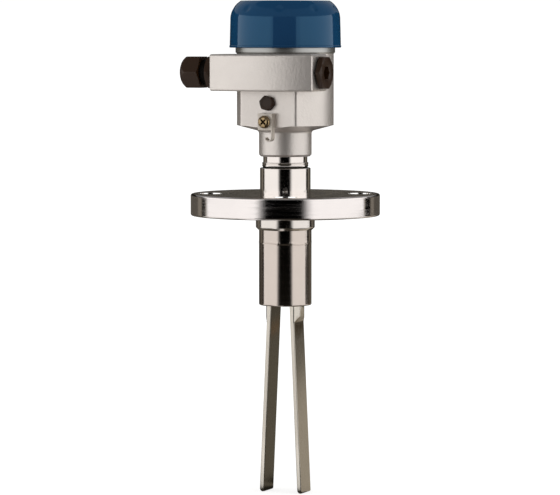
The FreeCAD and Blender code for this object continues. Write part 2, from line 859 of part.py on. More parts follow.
def make_gland_nut():
    """Domed hexagon nut of the gland."""
    body = new_body("gland_nut")
    end = S.gland_nut_start + S.gland_nut_length
    cone_start, cone_end = gland_nut_cone()
    dome_start = end - S.gland_nut_dome_length
    corner = hex_corner(S.entry_hex_flats)
    extruded(body, "nut_hexagon", "YZ_Plane", S.gland_nut_start, S.gland_nut_length,
             points=hexagon(S.entry_hex_flats))
    turned(body, "nut_dome", [
        (dome_start, corner),
        (end, S.gland_nut_end_radius),
        (end + S.overcut, S.gland_nut_end_radius),
        (end + S.overcut, corner + S.overcut),
        (dome_start, corner + S.overcut),
    ], bulges={0: -S.gland_nut_dome_bulge}, axis="H_Axis", cut=True)
    thread = S.gland_sleeve_radius + S.slide_gap
    turned(body, "nut_bore", [
        (S.gland_nut_start - S.overcut, 0.0),
        (end + S.overcut, 0.0),
        (end + S.overcut, S.gland_nut_hole_radius),
        (cone_end, S.gland_nut_hole_radius),
        (cone_end, S.gland_seal_tip_radius + S.slide_gap),
        (cone_start, S.gland_seal_head_radius + S.slide_gap),
        (cone_start, thread),
        (S.gland_nut_start - S.overcut, thread),
    ], axis="H_Axis", cut=True)
    return at_entry(body, -1)


def make_gland_seal():
    """Rubber sealing insert that the nut presses round the cable."""
    body = new_body("gland_seal")
    cone_start, cone_end = gland_nut_cone()
    shank_end = S.gland_seal_start + S.gland_seal_shank_length
    shank = S.gland_seat_radius - S.slide_gap
    turned(body, "seal_insert", [
        (S.gland_seal_start, S.gland_seal_bore_radius),
        (cone_end - S.fit_gap, S.gland_seal_bore_radius),
        (cone_end - S.fit_gap, S.gland_seal_tip_radius),
        (cone_start, S.gland_seal_head_radius),
        (shank_end, S.gland_seal_head_radius),
        (shank_end, shank),
        (S.gland_seal_start, shank),
    ], axis="H_Axis")
    return at_entry(body, -1)


def make_entry_plug():
    """Blanking plug with a hexagon head and a hexagon socket."""
    body = new_body("entry_plug")
    head_top = S.washer_thickness + S.plug_head_height
    thread = S.entry_thread_radius - S.fit_gap
    turned(body, "plug_shank", rectangle(
        -S.entry_thread_length, 0.0, S.washer_thickness, thread), axis="H_Axis")
    extruded(body, "plug_head", "YZ_Plane", S.washer_thickness, S.plug_head_height,
             points=hexagon(S.entry_hex_flats))
    chamfer_hexagon(body, "plug_chamfer", S.entry_hex_flats, head_top, S.hex_chamfer, "H_Axis")
    extruded(body, "plug_socket", "YZ_Plane", head_top, S.plug_socket_depth, cut=True,
             points=hexagon(S.plug_socket_flats))
    return at_entry(body, 1)


def on_front(body, level):
    """Place a piece made along +Z on the flat front, pointing out of it."""
    return place(body, 0.0, -pad_depth, level, axis=(1, 0, 0), angle=QUARTER_TURN)


def make_side_plug():
    """Small hexagon plug on the flat front."""
    body = new_body("side_plug")
    shank = pad_depth - lower_chamber_radius - S.slide_gap
    turned(body, "side_plug_shank", rectangle(0.0, -shank, S.side_plug_shank_radius, 0.0))
    extruded(body, "side_plug_hexagon", "XY_Plane", 0.0, S.side_plug_head,
             points=hexagon(S.side_plug_flats, S.side_plug_turn))
    chamfer_hexagon(
        body, "side_plug_face", S.side_plug_flats, S.side_plug_head, S.side_plug_chamfer, "V_Axis")
    return on_front(body, side_plug_level)


def make_earth_clamp():
    """Folded clamp of the earth terminal, with a hooked tail."""
    body = new_body("earth_clamp")
    outer = S.earth_plate_width / 2
    inner = outer - S.earth_sheet
    half = S.earth_plate_height / 2
    top = S.earth_plate_lift + S.earth_sheet
    extruded(body, "clamp_fold", "XZ_Plane", -half, S.earth_plate_height, points=[
        (-outer, 0.0),
        (-inner, 0.0),
        (-inner, S.earth_plate_lift),
        (inner, S.earth_plate_lift),
        (inner, 0.0),
        (outer, 0.0),
        (outer, top),
        (-outer, top),
    ])
    extruded(body, "clamp_hole", "XY_Plane", top, S.earth_sheet, cut=True,
             circles=[(0.0, 0.0, S.earth_shank_radius + S.slide_gap)])
    bend = -half - S.earth_tail_length
    hook_inner = S.earth_hook_radius - S.earth_sheet
    centre = outer - S.earth_hook_radius
    extruded(body, "clamp_tail", "XY_Plane", top - S.earth_tail_width, S.earth_tail_width, points=[
        (inner, -half + S.earth_sheet),
        (inner, bend),
        (centre - hook_inner, bend),
        (centre - S.earth_hook_radius, bend),
        (outer, bend),
        (outer, -half + S.earth_sheet),
    ], bulges={1: -hook_inner, 3: S.earth_hook_radius})
    return on_front(body, earth_level)


def make_earth_washer():
    """Plain washer under the earth screw's head."""
    low = S.earth_plate_lift + S.earth_sheet
    body = plain_ring("earth_washer", S.earth_shank_radius + S.fit_gap, S.earth_washer_radius,
                      low, low + S.earth_washer_thickness)
    return on_front(body, earth_level)


def make_earth_screw():
    """Domed screw with a cross recess."""
    body = new_body("earth_screw")
    seat = S.earth_plate_lift + S.earth_sheet + S.earth_washer_thickness
    crown = seat + S.earth_head_height
    rim = seat + S.earth_rim_height
    turned(body, "earth_screw_form", [
        (0.0, -S.earth_shank_depth),
        (S.earth_shank_radius, -S.earth_shank_depth),
        (S.earth_shank_radius, seat),
        (S.earth_head_radius, seat),
        (S.earth_head_radius, rim),
        (S.earth_crown_radius, crown),
        (0.0, crown),
    ], bulges={4: S.earth_crown_bow})
    half = S.earth_slot_width / 2
    reach = S.earth_recess_reach
    for name, x, y in (("along", reach, half), ("across", half, reach)):
        extruded(body, f"recess_{name}", "XY_Plane", crown, S.earth_slot_depth, cut=True,
                 points=spun(rectangle(-x, -y, x, y), S.earth_slot_turn))
    return on_front(body, earth_level)


def make_module_cup():
    """Cup of the electronics insert, hung from its flange on the housing's ledge."""
    body = new_body("module_cup")
    board_seat = cup_inner_radius - S.board_ledge
    floor = cup_bottom + S.module_cup_floor
    turned(body, "cup_shell", [
        (S.module_lead_hole_radius, cup_bottom),
        (cup_radius, cup_bottom),
        (cup_radius, ledge),
        (insert_radius, ledge),
        (insert_radius, cover_bottom),
        (cup_inner_radius, cover_bottom),
        (cup_inner_radius, board_bottom),
        (board_seat, board_bottom),
        (board_seat, floor),
        (S.module_lead_hole_radius, floor),
    ])
    hole = extruded(body, "cup_screw_hole", "XY_Plane", cover_bottom, S.module_flange_height, cut=True,
                    circles=[(0.0, module_screw_circle, S.module_screw_radius + S.fit_gap)])
    patterned(body, "cup_screw_holes", hole, S.module_screw_count)
    return body


def make_circuit_board():
    """Round circuit board on the cup's inner step."""
    body = new_body("circuit_board")
    extruded(body, "board_disc", "XY_Plane", board_bottom, S.board_thickness,
             circles=[(0.0, 0.0, cup_inner_radius - S.slide_gap)])
    return body


def make_module_cover():
    """Cover plate of the insert, with a slot for the slider and a hole for the light."""
    body = new_body("module_cover")
    extruded(body, "cover_disc", "XY_Plane", cover_bottom, S.cover_height,
             circles=[(0.0, 0.0, insert_radius)])
    half_slot = (S.slider_knob_length + S.slider_travel) / 2 + S.slide_gap
    half_width = S.slider_knob_width / 2 + S.slide_gap
    extruded(body, "slider_slot", "XY_Plane", cover_top, S.cover_height, cut=True,
             points=rectangle(
                 -half_slot, slider_offset - half_width, half_slot, slider_offset + half_width))
    extruded(body, "light_hole", "XY_Plane", cover_top, S.cover_height, cut=True,
             circles=[(S.light_x, slider_offset, S.light_radius + S.fit_gap)])
    hole = extruded(body, "cover_screw_hole", "XY_Plane", cover_top, S.cover_height, cut=True,
                    circles=[(0.0, module_screw_circle, S.module_screw_radius + S.fit_gap)])
    patterned(body, "cover_screw_holes", hole, S.module_screw_count)
    return body


def slotted_screw(name, shank_radius, low, seat, head_radius, head_height, slot_width, slot_depth, x, y):
    """A slotted screw as one member of a group."""
    crown = seat + head_height
    rods = []
    for part, radius, bottom, height in (
        ("shank", shank_radius, low, seat - low),
        ("head", head_radius, seat, head_height),
    ):
        rod = doc.addObject("Part::Cylinder", f"{name}_{part}")
        bind(rod, "Radius", radius)
        bind(rod, "Height", height)
        rods.append(place(rod, x, y, bottom))
    blank = doc.addObject("Part::MultiFuse", f"{name}_blank")
    blank.Shapes = rods
    reach = head_radius + S.overcut
    slot = loose_box(f"{name}_slot", reach * 2, slot_width, slot_depth,
                     x - reach, y - slot_width / 2, crown - slot_depth)
    screw = doc.addObject("Part::Cut", name)
    screw.Base = blank
    screw.Tool = slot
    return screw


def make_module_screws():
    """Screws that hold the insert on the housing's ledge."""
    screws = []
    count = SIZES["module_screw_count"]
    for index in range(count):
        angle = math.radians(QUARTER_TURN + FULL_TURN * index / count)
        screws.append(slotted_screw(
            f"module_screw_{index}", S.module_screw_radius, ledge - S.module_screw_depth, cover_top,
            S.module_screw_head_radius, S.module_screw_head_height,
            S.module_screw_slot_width, S.module_screw_slot_depth,
            module_screw_circle * math.cos(angle), module_screw_circle * math.sin(angle)))
    return group("module_screws", screws)


def terminal_places():
    """Middles of the terminals along X."""
    count = SIZES["terminal_count"]
    return [S.terminal_pitch * (index - (count - 1) / 2) for index in range(count)]


def make_terminal_block():
    """Terminal block with wire mouths to the front and screw wells on top."""
    body = new_body("terminal_block")
    half = S.terminal_pitch * S.terminal_count / 2 + S.terminal_end
    front = -S.terminal_offset - S.terminal_depth / 2
    top = cover_top + S.terminal_height
    extruded(body, "block", "XY_Plane", cover_top, S.terminal_height,
             points=rectangle(-half, front, half, front + S.terminal_depth))
    extruded(body, "wire_mouths", "XZ_Plane", -front, S.terminal_wire_depth, cut=True,
             circles=[(x, cover_top + S.terminal_wire_rise, S.terminal_wire_radius)
                      for x in terminal_places()])
    extruded(body, "screw_wells", "XY_Plane", top, S.terminal_screw_height + S.terminal_screw_sink, cut=True,
             circles=[(x, -S.terminal_offset, S.terminal_screw_radius + S.fit_gap)
                      for x in terminal_places()])
    return body


def make_terminal_screws():
    """Clamping screws of the terminal block."""
    low = cover_top + S.terminal_height - S.terminal_screw_height - S.terminal_screw_sink
    middle = low + S.terminal_screw_height / 2
    screws = []
    for index, x in enumerate(terminal_places()):
        screws.append(slotted_screw(
            f"terminal_screw_{index}", S.terminal_screw_radius, low, middle,
            S.terminal_screw_radius, S.terminal_screw_height / 2,
            S.terminal_slot_width, S.terminal_slot_depth, x, -S.terminal_offset))
    return group("terminal_screws", screws)


def slider_foot_bottom():
    """Underside of the slider's foot, just under the cover."""
    return cover_bottom - S.slide_gap - S.slider_foot_height


def make_mode_switch():
    """Switch body on the circuit board, under the slider."""
    body = new_body("mode_switch")
    half_length = S.switch_length / 2
    half_width = S.switch_width / 2
    extruded(body, "switch_block", "XY_Plane", board_top, slider_foot_bottom() - S.slide_gap - board_top,
             points=rectangle(
                 -half_length, slider_offset - half_width, half_length, slider_offset + half_width))
    return body


def make_mode_slider():
    """Slider of the mode switch, at the left end of its travel."""
    body = new_body("mode_slider")
    low = slider_foot_bottom()
    middle = -S.slider_travel / 2
    for name, length, width, height in (
        ("slider_foot", S.slider_foot_length, S.slider_foot_width, S.slider_foot_height),
        ("slider_knob", S.slider_knob_length, S.slider_knob_width, cover_top + S.slider_knob_proud - low),
    ):
        extruded(body, name, "XY_Plane", low, height, points=rectangle(
            middle - length / 2, slider_offset - width / 2,
            middle + length / 2, slider_offset + width / 2))
    return body


def make_status_light():
    """Round-nosed indicator that stands on the circuit board."""
    body = new_body("status_light")
    shoulder = cover_top + S.light_proud - S.light_radius
    turned(body, "light_body", [
        (0.0, board_top),
        (S.light_radius, board_top),
        (S.light_radius, shoulder),
        (0.0, shoulder + S.light_radius),
    ], bulges={2: S.light_radius * QUARTER_HEIGHT})
    return place(body, S.light_x, slider_offset)


def make_weld_collar():
    """Collar under the flange, tapered onto the fork tube."""
    body = new_body("weld_collar")
    bore = S.fork_tube_radius + S.fit_gap
    low = face_level - S.collar_height
    turned(body, "collar_form", [
        (bore, low),
        (bore + S.collar_lip, low),
        (collar_radius, low + S.collar_chamfer_height),
        (collar_radius, collar_seat),
        (bore, collar_seat),
    ], bulges={1: S.collar_bow})
    return body


def make_fork_tube():
    """Plain tube from the flange to the diaphragm."""
    return plain_ring("fork_tube", fork_bore_radius, S.fork_tube_radius, diaphragm_top, face_level)


def make_diaphragm():
    """Closing disc of the fork tube, centred by a lip in the bore."""
    body = new_body("diaphragm")
    lip_top = diaphragm_top + S.diaphragm_lip_height
    turned(body, "diaphragm_disc", [
        (0.0, diaphragm_bottom),
        (S.fork_tube_radius - S.diaphragm_edge, diaphragm_bottom),
        (S.fork_tube_radius, diaphragm_bottom + S.diaphragm_edge),
        (S.fork_tube_radius, diaphragm_top),
        (lip_outer_radius, diaphragm_top),
        (lip_outer_radius, lip_top),
        (lip_inner_radius, lip_top),
        (lip_inner_radius, diaphragm_top),
        (0.0, diaphragm_top),
    ], bulges={1: S.diaphragm_edge * QUARTER_HEIGHT})
    return body


def make_tine(label, side):
    """One flat tine, splayed outward, with a round foot bevelled to the blade."""
    body = new_body(label)
    slope = tangent(S.tine_splay_angle)
    blade = S.tine_thickness / cosine(S.tine_splay_angle)
    drop = S.tine_length - S.tine_root_gap
    bevel = tine_root - S.tine_bevel_drop
    inner_tip = S.tine_half_gap + drop * slope
    chamfer = S.tine_tip_chamfer
    points = [
        (S.tine_half_gap, tine_root),
        (inner_tip, tine_tip + chamfer),
        (inner_tip + chamfer, tine_tip),
        (inner_tip + blade - chamfer, tine_tip),
        (inner_tip + blade, tine_tip + chamfer),
        (S.tine_half_gap + blade + S.tine_bevel_drop * slope, bevel),
        (tine_foot_radius, tine_root - S.tine_foot_height),
        (tine_foot_radius, tine_root),
    ]
    extruded(body, label + "_blade", "XZ_Plane", -S.tine_width / 2, S.tine_width,
             points=[(x * side, z) for x, z in points])
    far = tine_foot_radius * 2
    turned(body, label + "_foot", rectangle(tine_foot_radius, bevel, far, tine_root + S.overcut), cut=True)
    return body


def make_drive_bolt():
    """Stud that draws the piezo stack against the diaphragm."""
    body = new_body("drive_bolt")
    extruded(body, "bolt_rod", "XY_Plane", diaphragm_top, clamp_nut_top + S.drive_bolt_reveal - diaphragm_top,
             circles=[(0.0, 0.0, S.drive_bolt_radius)])
    return body


def make_pressure_ring():
    """Cupped ring that carries the stack's force to the edge of the diaphragm."""
    body = new_body("pressure_ring")
    foot_inner = pressure_ring_radius - S.pressure_ring_foot
    turned(body, "pressure_cup", [
        (foot_inner, diaphragm_top),
        (pressure_ring_radius, diaphragm_top),
        (pressure_ring_radius, stack_bottom - S.pressure_ring_cone),
        (pressure_ring_radius - S.pressure_ring_cone, stack_bottom),
        (S.disc_hole_radius, stack_bottom),
        (S.disc_hole_radius, stack_bottom - S.pressure_ring_web),
        (foot_inner, stack_bottom - S.pressure_ring_web),
    ])
    return body


def piezo_level(index):
    """Underside of a piezo disc in the stack."""
    return piezo_bottom + piezo_step * index


def make_piezo_discs():
    """Ceramic discs of the drive."""
    discs = [
        loose_ring(f"piezo_disc_{index}", S.disc_hole_radius, S.disc_radius,
                   piezo_level(index), S.piezo_thickness)
        for index in range(SIZES["piezo_count"])
    ]
    return group("piezo_discs", discs)


def make_insulating_discs():
    """Insulating discs at both ends of the stack."""
    discs = [
        loose_ring(f"insulating_disc_{index}", S.disc_hole_radius, S.disc_radius, low, S.insulator_thickness)
        for index, low in enumerate((stack_bottom, piezo_top))
    ]
    return group("insulating_discs", discs)


def contact_level(index):
    """Underside of a contact plate, on top of a piezo disc."""
    return piezo_level(index) + S.piezo_thickness


def make_contact_plates():
    """Contact plates between the piezo discs, with tabs to alternate sides."""
    plates = []
    for index in range(SIZES["piezo_count"] - 1):
        level = contact_level(index)
        disc = loose_ring(f"contact_disc_{index}", S.disc_hole_radius, S.disc_radius,
                          level, S.contact_thickness)
        length = S.contact_tab_reach - S.disc_radius + S.overcut
        start = S.disc_radius - S.overcut if index % 2 == 0 else -S.contact_tab_reach
        tab = loose_box(f"contact_tab_{index}", length, S.contact_tab_width, S.contact_thickness,
                        start, -S.contact_tab_width / 2, level)
        plate = doc.addObject("Part::MultiFuse", f"contact_plate_{index}")
        plate.Shapes = [disc, tab]
        plates.append(plate)
    return group("contact_plates", plates)


def make_clamp_nut():
    """Nut on the drive bolt that preloads the stack."""
    body = new_body("clamp_nut")
    extruded(body, "clamp_nut_form", "XY_Plane", stack_top, S.clamp_nut_height,
             points=hexagon(S.clamp_nut_flats), circles=[(0.0, 0.0, S.drive_bolt_radius + S.fit_gap)])
    return body


def routed_wire(points, radius):
    """A round wire along straight runs joined by tangent arcs."""
    edges = []
    start = points[0]
    for before, corner, after in zip(points, points[1:], points[2:]):
        reach = BEND_SHARE * min((corner - before).Length, (after - corner).Length)
        into = corner + (before - corner).normalize() * reach
        out = corner + (after - corner).normalize() * reach
        turn = (corner - before).getAngle(after - corner)
        bend = reach / math.tan(turn / 2)
        inward = ((into + out) / 2 - corner).normalize()
        middle = corner + inward * (bend / math.cos(turn / 2) - bend)
        edges += [Part.LineSegment(start, into).toShape(), Part.Arc(into, middle, out).toShape()]
        start = out
    edges.append(Part.LineSegment(start, points[-1]).toShape())
    path = Part.Wire(edges)
    section = Part.Wire(Part.Circle(points[0], points[1] - points[0], radius).toShape())
    return path.makePipeShell([section], True, False)


def make_lead_wires():
    """Two leads from the contact tabs to the circuit board, and a link between the tabs of one side."""
    reach = lead_start.value
    bend = insert_bottom.value - reach
    wires = []
    for side, plate in ((-1, 1), (1, 2)):
        low = contact_level(plate).value + S.contact_thickness.value
        route = [
            (reach, low),
            (reach, bend),
            (S.lead_circle.value, insert_bottom.value + S.lead_circle.value),
            (S.lead_circle.value, board_bottom.value),
        ]
        points = [FreeCAD.Vector(x * side, 0, z) for x, z in route]
        wires.append(routed_wire(points, S.lead_radius.value))
    link_low = contact_level(0).value + S.contact_thickness.value
    link_height = contact_level(2).value - link_low
    wires.append(Part.makeCylinder(S.lead_radius.value, link_height, FreeCAD.Vector(reach, 0, link_low)))
    feature = doc.addObject("Part::Feature", "lead_wires")
    feature.Label = "lead_wires"
    feature.Shape = Part.makeCompound(wires)
    return feature


pieces = [
    make_flange(),
    make_upper_tube(),
    make_neck_seals(),
    make_neck_nut(),
    make_housing(),
    make_lid(),
    make_lid_seal(),
    make_entry_washer("gland_washer", -1),
    make_gland_body(),
    make_gland_nut(),
    make_gland_seal(),
    make_entry_washer("plug_washer", 1),
    make_entry_plug(),
    make_side_plug(),
    make_earth_clamp(),
    make_earth_washer(),
    make_earth_screw(),
    make_module_cup(),
    make_circuit_board(),
    make_module_cover(),
    make_module_screws(),
    make_terminal_block(),
    make_terminal_screws(),
    make_mode_switch(),
    make_mode_slider(),
    make_status_light(),
    make_weld_collar(),
    make_fork_tube(),
    make_diaphragm(),
    make_tine("tine_left", -1),
    make_tine("tine_right", 1),
    make_drive_bolt(),
    make_pressure_ring(),
    make_piezo_discs(),
    make_insulating_discs(),
    make_contact_plates(),
    make_clamp_nut(),
    make_lead_wires(),
]
doc.recompute()

failed = [item.Name for item in doc.Objects if {"Invalid", "Error"} & set(item.State)]
failed += [piece.Label for piece in pieces if piece.Shape.isNull() or not piece.Shape.isValid()]
if failed:
    raise RuntimeError("failed: " + ", ".join(failed))

os.makedirs("parts", exist_ok=True)
for piece in pieces:
    piece.Shape.exportStep(os.path.join("parts", piece.Label + ".step"))
    print(piece.Label, len(piece.Shape.Solids), round(piece.Shape.Volume, 2))
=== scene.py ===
"""Looks of a flange-mounted vibrating fork level switch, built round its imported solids.

Sizes in the classes are millimetres. Meshes are metres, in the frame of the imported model: +Z runs up
along the probe to the lid, +X along the cable entries, and -Y to the flat front of the housing.
"""
from __future__ import annotations

import logging
import math
from collections.abc import Callable, Mapping, Sequence
from dataclasses import dataclass, field
from enum import Enum
from typing import Any

import bmesh
import bpy
from mathutils import Matrix, Vector

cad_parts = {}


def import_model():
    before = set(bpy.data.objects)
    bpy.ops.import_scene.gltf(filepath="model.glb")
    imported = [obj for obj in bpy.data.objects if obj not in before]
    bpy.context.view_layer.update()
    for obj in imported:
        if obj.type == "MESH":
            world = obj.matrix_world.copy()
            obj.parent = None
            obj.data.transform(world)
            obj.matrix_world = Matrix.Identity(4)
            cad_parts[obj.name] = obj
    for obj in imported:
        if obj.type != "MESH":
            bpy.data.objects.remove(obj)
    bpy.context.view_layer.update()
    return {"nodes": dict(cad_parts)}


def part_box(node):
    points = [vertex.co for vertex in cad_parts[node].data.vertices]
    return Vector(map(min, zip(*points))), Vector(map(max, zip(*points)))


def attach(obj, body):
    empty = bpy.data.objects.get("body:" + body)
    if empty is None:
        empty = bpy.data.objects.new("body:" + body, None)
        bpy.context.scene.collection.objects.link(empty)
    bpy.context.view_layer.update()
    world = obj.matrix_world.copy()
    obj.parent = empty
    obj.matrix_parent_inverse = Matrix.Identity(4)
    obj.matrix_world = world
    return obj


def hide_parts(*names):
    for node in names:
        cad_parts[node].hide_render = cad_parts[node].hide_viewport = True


LOG = logging.getLogger("fork_level_switch")

Face = bpy.types.MeshPolygon
Material = bpy.types.Material
Mesh = bpy.types.Mesh
Node = bpy.types.Node
Piece = bpy.types.Object
Socket = bpy.types.NodeSocket
Tree = bpy.types.NodeTree
Inputs = Mapping[str | int, Any]
Nodes = Mapping[str, Piece]
Pair = tuple[float, float]
Points = Sequence[Vector]
Faces = Sequence[Sequence[int]]
Move = Callable[[Vector], Vector]

MM = 0.001
PER_METRE = 1000.0
AROUND = 240
HEX_SIDES = 6
HEX_CRISPNESS = 60
ARC_STEPS = 7
BEVEL_STEPS = 3
THREAD_STEPS = 96
THREAD_SIDES = 6
SCREEN_STEP = 6.0
HOLD = 0.12
SEAM = 0.1
SMALLEST = 1e-6
SHARP_ANGLE = math.radians(34)
FLAT_ANGLE = math.radians(0.6)
MERGE_DISTANCE = 2e-6
WHITE = "#FFFFFF"
PHOTO_SIZE = (560, 495)


class Lay(Enum):
    """Direction of the fine lines that a steel surface was left with."""

    TURNED = "round the axis"
    BRUSHED = "along the blade"


class Side(Enum):
    """End of the entry arm, as its sign along X."""

    GLAND = -1
    PLUG = 1


@dataclass(frozen=True)
class Corner:
    """A corner of a turned profile: radius, level and how far it is rounded."""

    radius: float
    level: float
    round: float = 0.0

    @property
    def point(self) -> Vector:
        """The corner without its rounding."""
        return Vector((self.radius, self.level))


def linear(colour: str) -> tuple[float, float, float, float]:
    """Turn an sRGB hex colour into linear values.

    Args:
        colour: Six hex digits after a hash sign.

    Returns:
        Linear red, green, blue and a full alpha.
    """
    parts = [int(colour[start:start + 2], 16) / 255 for start in (1, 3, 5)]
    values = [part / 12.92 if part <= 0.04045 else ((part + 0.055) / 1.055) ** 2.4 for part in parts]
    return values[0], values[1], values[2], 1.0


def add_node(tree: Tree, kind: str, inputs: Inputs | None = None, **settings: Any) -> Node:
    """Add a node with its settings, values and links.

    Args:
        tree: The node tree to add to.
        kind: Blender's name of the node type.
        inputs: A value, or a socket to link from, for each input by name or number.
        settings: Properties of the node itself.

    Returns:
        The new node.
    """
    node = tree.nodes.new(kind)
    for name, value in settings.items():
        setattr(node, name, value)
    for key, value in (inputs or {}).items():
        if isinstance(value, Socket):
            tree.links.new(value, node.inputs[key])
        else:
            node.inputs[key].default_value = value
    return node


def emptied(owner: Material | bpy.types.World) -> Tree:
    """Empty the node tree of a material or a world.

    Args:
        owner: The material or the world.

    Returns:
        Its tree, without nodes.
    """
    owner.use_nodes = True
    owner.node_tree.nodes.clear()
    return owner.node_tree


@dataclass(frozen=True)
class Finish:
    """A surface finish: the record's slot, its colour and how it is drawn.

    Patterns vary the colour between two tones, and the roughness between two ends over a span of the pattern.
    """

    name: str
    slot: str
    colour: str
    tones: Pair = (0.88, 1.12)
    roughness: Pair = (0.38, 0.52)
    rough_span: Pair = (0.3, 0.7)

    def material(self) -> Material:
        """Return the finish's material, made once."""
        found = bpy.data.materials.get(self.name)
        return found or self.build()

    def build(self) -> Material:
        """Make the material. Each kind of finish has its own."""
        raise NotImplementedError

    def start(self) -> tuple[Material, Tree, Socket]:
        """Begin a material whose patterns are measured in millimetres.

        Returns:
            The material, its emptied tree and the surface's place in millimetres.
        """
        material = bpy.data.materials.new(self.name)
        tree = emptied(material)
        where = add_node(tree, "ShaderNodeTexCoord").outputs["Object"]
        scaled = add_node(tree, "ShaderNodeVectorMath", {0: where, "Scale": PER_METRE}, operation="SCALE")
        return material, tree, scaled.outputs["Vector"]

    def toned(self, tree: Tree, shade: Socket) -> Socket:
        """Vary the finish's colour a little by a pattern.

        Args:
            tree: The material's tree.
            shade: The pattern, from 0 to 1.

        Returns:
            The varied colour.
        """
        red, green, blue, alpha = linear(self.colour)
        low, high = ((red * tone, green * tone, blue * tone, alpha) for tone in self.tones)
        return add_node(tree, "ShaderNodeMix", {0: shade, 6: low, 7: high}, data_type="RGBA").outputs[2]

    def close(self, tree: Tree, grain: Socket, inputs: Inputs) -> None:
        """End a material in one shader, its roughness led by a pattern.

        Args:
            tree: The material's tree.
            grain: The pattern, from 0 to 1.
            inputs: The shader's other inputs.
        """
        rough = add_node(tree, "ShaderNodeMapRange", {
            "Value": grain, "From Min": self.rough_span[0], "From Max": self.rough_span[1],
            "To Min": self.roughness[0], "To Max": self.roughness[1]})
        shader = add_node(tree, "ShaderNodeBsdfPrincipled", {"Roughness": rough.outputs[0], **inputs})
        add_node(tree, "ShaderNodeOutputMaterial", {"Surface": shader.outputs[0]})


@dataclass(frozen=True)
class PowderCoat(Finish):
    """Polyester powder coat on die-cast aluminium: a satin skin with orange peel and a metallic sheen."""

    tones: Pair = (0.95, 1.04)
    roughness: Pair = (0.34, 0.44)
    peel_mm: float = 1.9
    peel_depth_mm: float = 0.145
    # The powder's grit is finer than a pixel, so it is drawn as coarse as it needs to show
    grain_mm: float = 0.5
    grain_depth_mm: float = 0.01
    cloud_mm: float = 14.0
    metallic: float = 0.85

    def build(self) -> Material:
        """Make the coat from peel, grain and faint clouds of tone.

        Returns:
            The finished material.
        """
        material, tree, place = self.start()
        cloud = add_node(tree, "ShaderNodeTexNoise", {
            "Vector": place, "Scale": 1 / self.cloud_mm, "Detail": 3.0})
        peel = add_node(tree, "ShaderNodeTexNoise", {
            "Vector": place, "Scale": 1 / self.peel_mm, "Detail": 2.0, "Roughness": 0.45})
        grain = add_node(tree, "ShaderNodeTexNoise", {
            "Vector": place, "Scale": 1 / self.grain_mm, "Detail": 1.0})
        waves = add_node(tree, "ShaderNodeBump", {
            "Height": peel.outputs[0], "Distance": self.peel_depth_mm * MM, "Strength": 1.0})
        bump = add_node(tree, "ShaderNodeBump", {
            "Height": grain.outputs[0], "Distance": self.grain_depth_mm * MM, "Strength": 1.0,
            "Normal": waves.outputs[0]})
        self.close(tree, grain.outputs[0], {
            "Base Color": self.toned(tree, cloud.outputs[0]), "Metallic": self.metallic,
            "Normal": bump.outputs[0]})
        return material


@dataclass(frozen=True)
class GlossCoat(Finish):
    """Sprayed gloss enamel on die-cast aluminium: deep colour under a mirror-like skin with long ripples."""

    tones: Pair = (0.94, 1.06)
    roughness: Pair = (0.05, 0.10)
    rough_span: Pair = (0.35, 0.75)
    ripple_mm: float = 4.0
    ripple_depth_mm: float = 0.004
    speck_mm: float = 0.8
    ior: float = 1.6
    specular: float = 0.45
    tint: str = "#8CCDF0"
    edge_colour: str = "#0A4468"
    edge_blend: float = 0.35

    def build(self) -> Material:
        """Make the enamel from ripples and faint specks of haze, with a greener sheen at its edges.

        Returns:
            The finished material.
        """
        material, tree, place = self.start()
        ripple = add_node(tree, "ShaderNodeTexNoise", {
            "Vector": place, "Scale": 1 / self.ripple_mm, "Detail": 1.0})
        speck = add_node(tree, "ShaderNodeTexNoise", {
            "Vector": place, "Scale": 1 / self.speck_mm, "Detail": 3.0})
        bump = add_node(tree, "ShaderNodeBump", {
            "Height": ripple.outputs[0], "Distance": self.ripple_depth_mm * MM, "Strength": 1.0})
        edge = add_node(tree, "ShaderNodeLayerWeight", {"Blend": self.edge_blend})
        colour = add_node(tree, "ShaderNodeMix", {
            0: edge.outputs["Facing"], 6: self.toned(tree, speck.outputs[0]), 7: linear(self.edge_colour),
        }, data_type="RGBA")
        self.close(tree, speck.outputs[0], {
            "Base Color": colour.outputs[2], "IOR": self.ior, "Specular IOR Level": self.specular,
            "Specular Tint": linear(self.tint), "Normal": bump.outputs[0]})
        return material


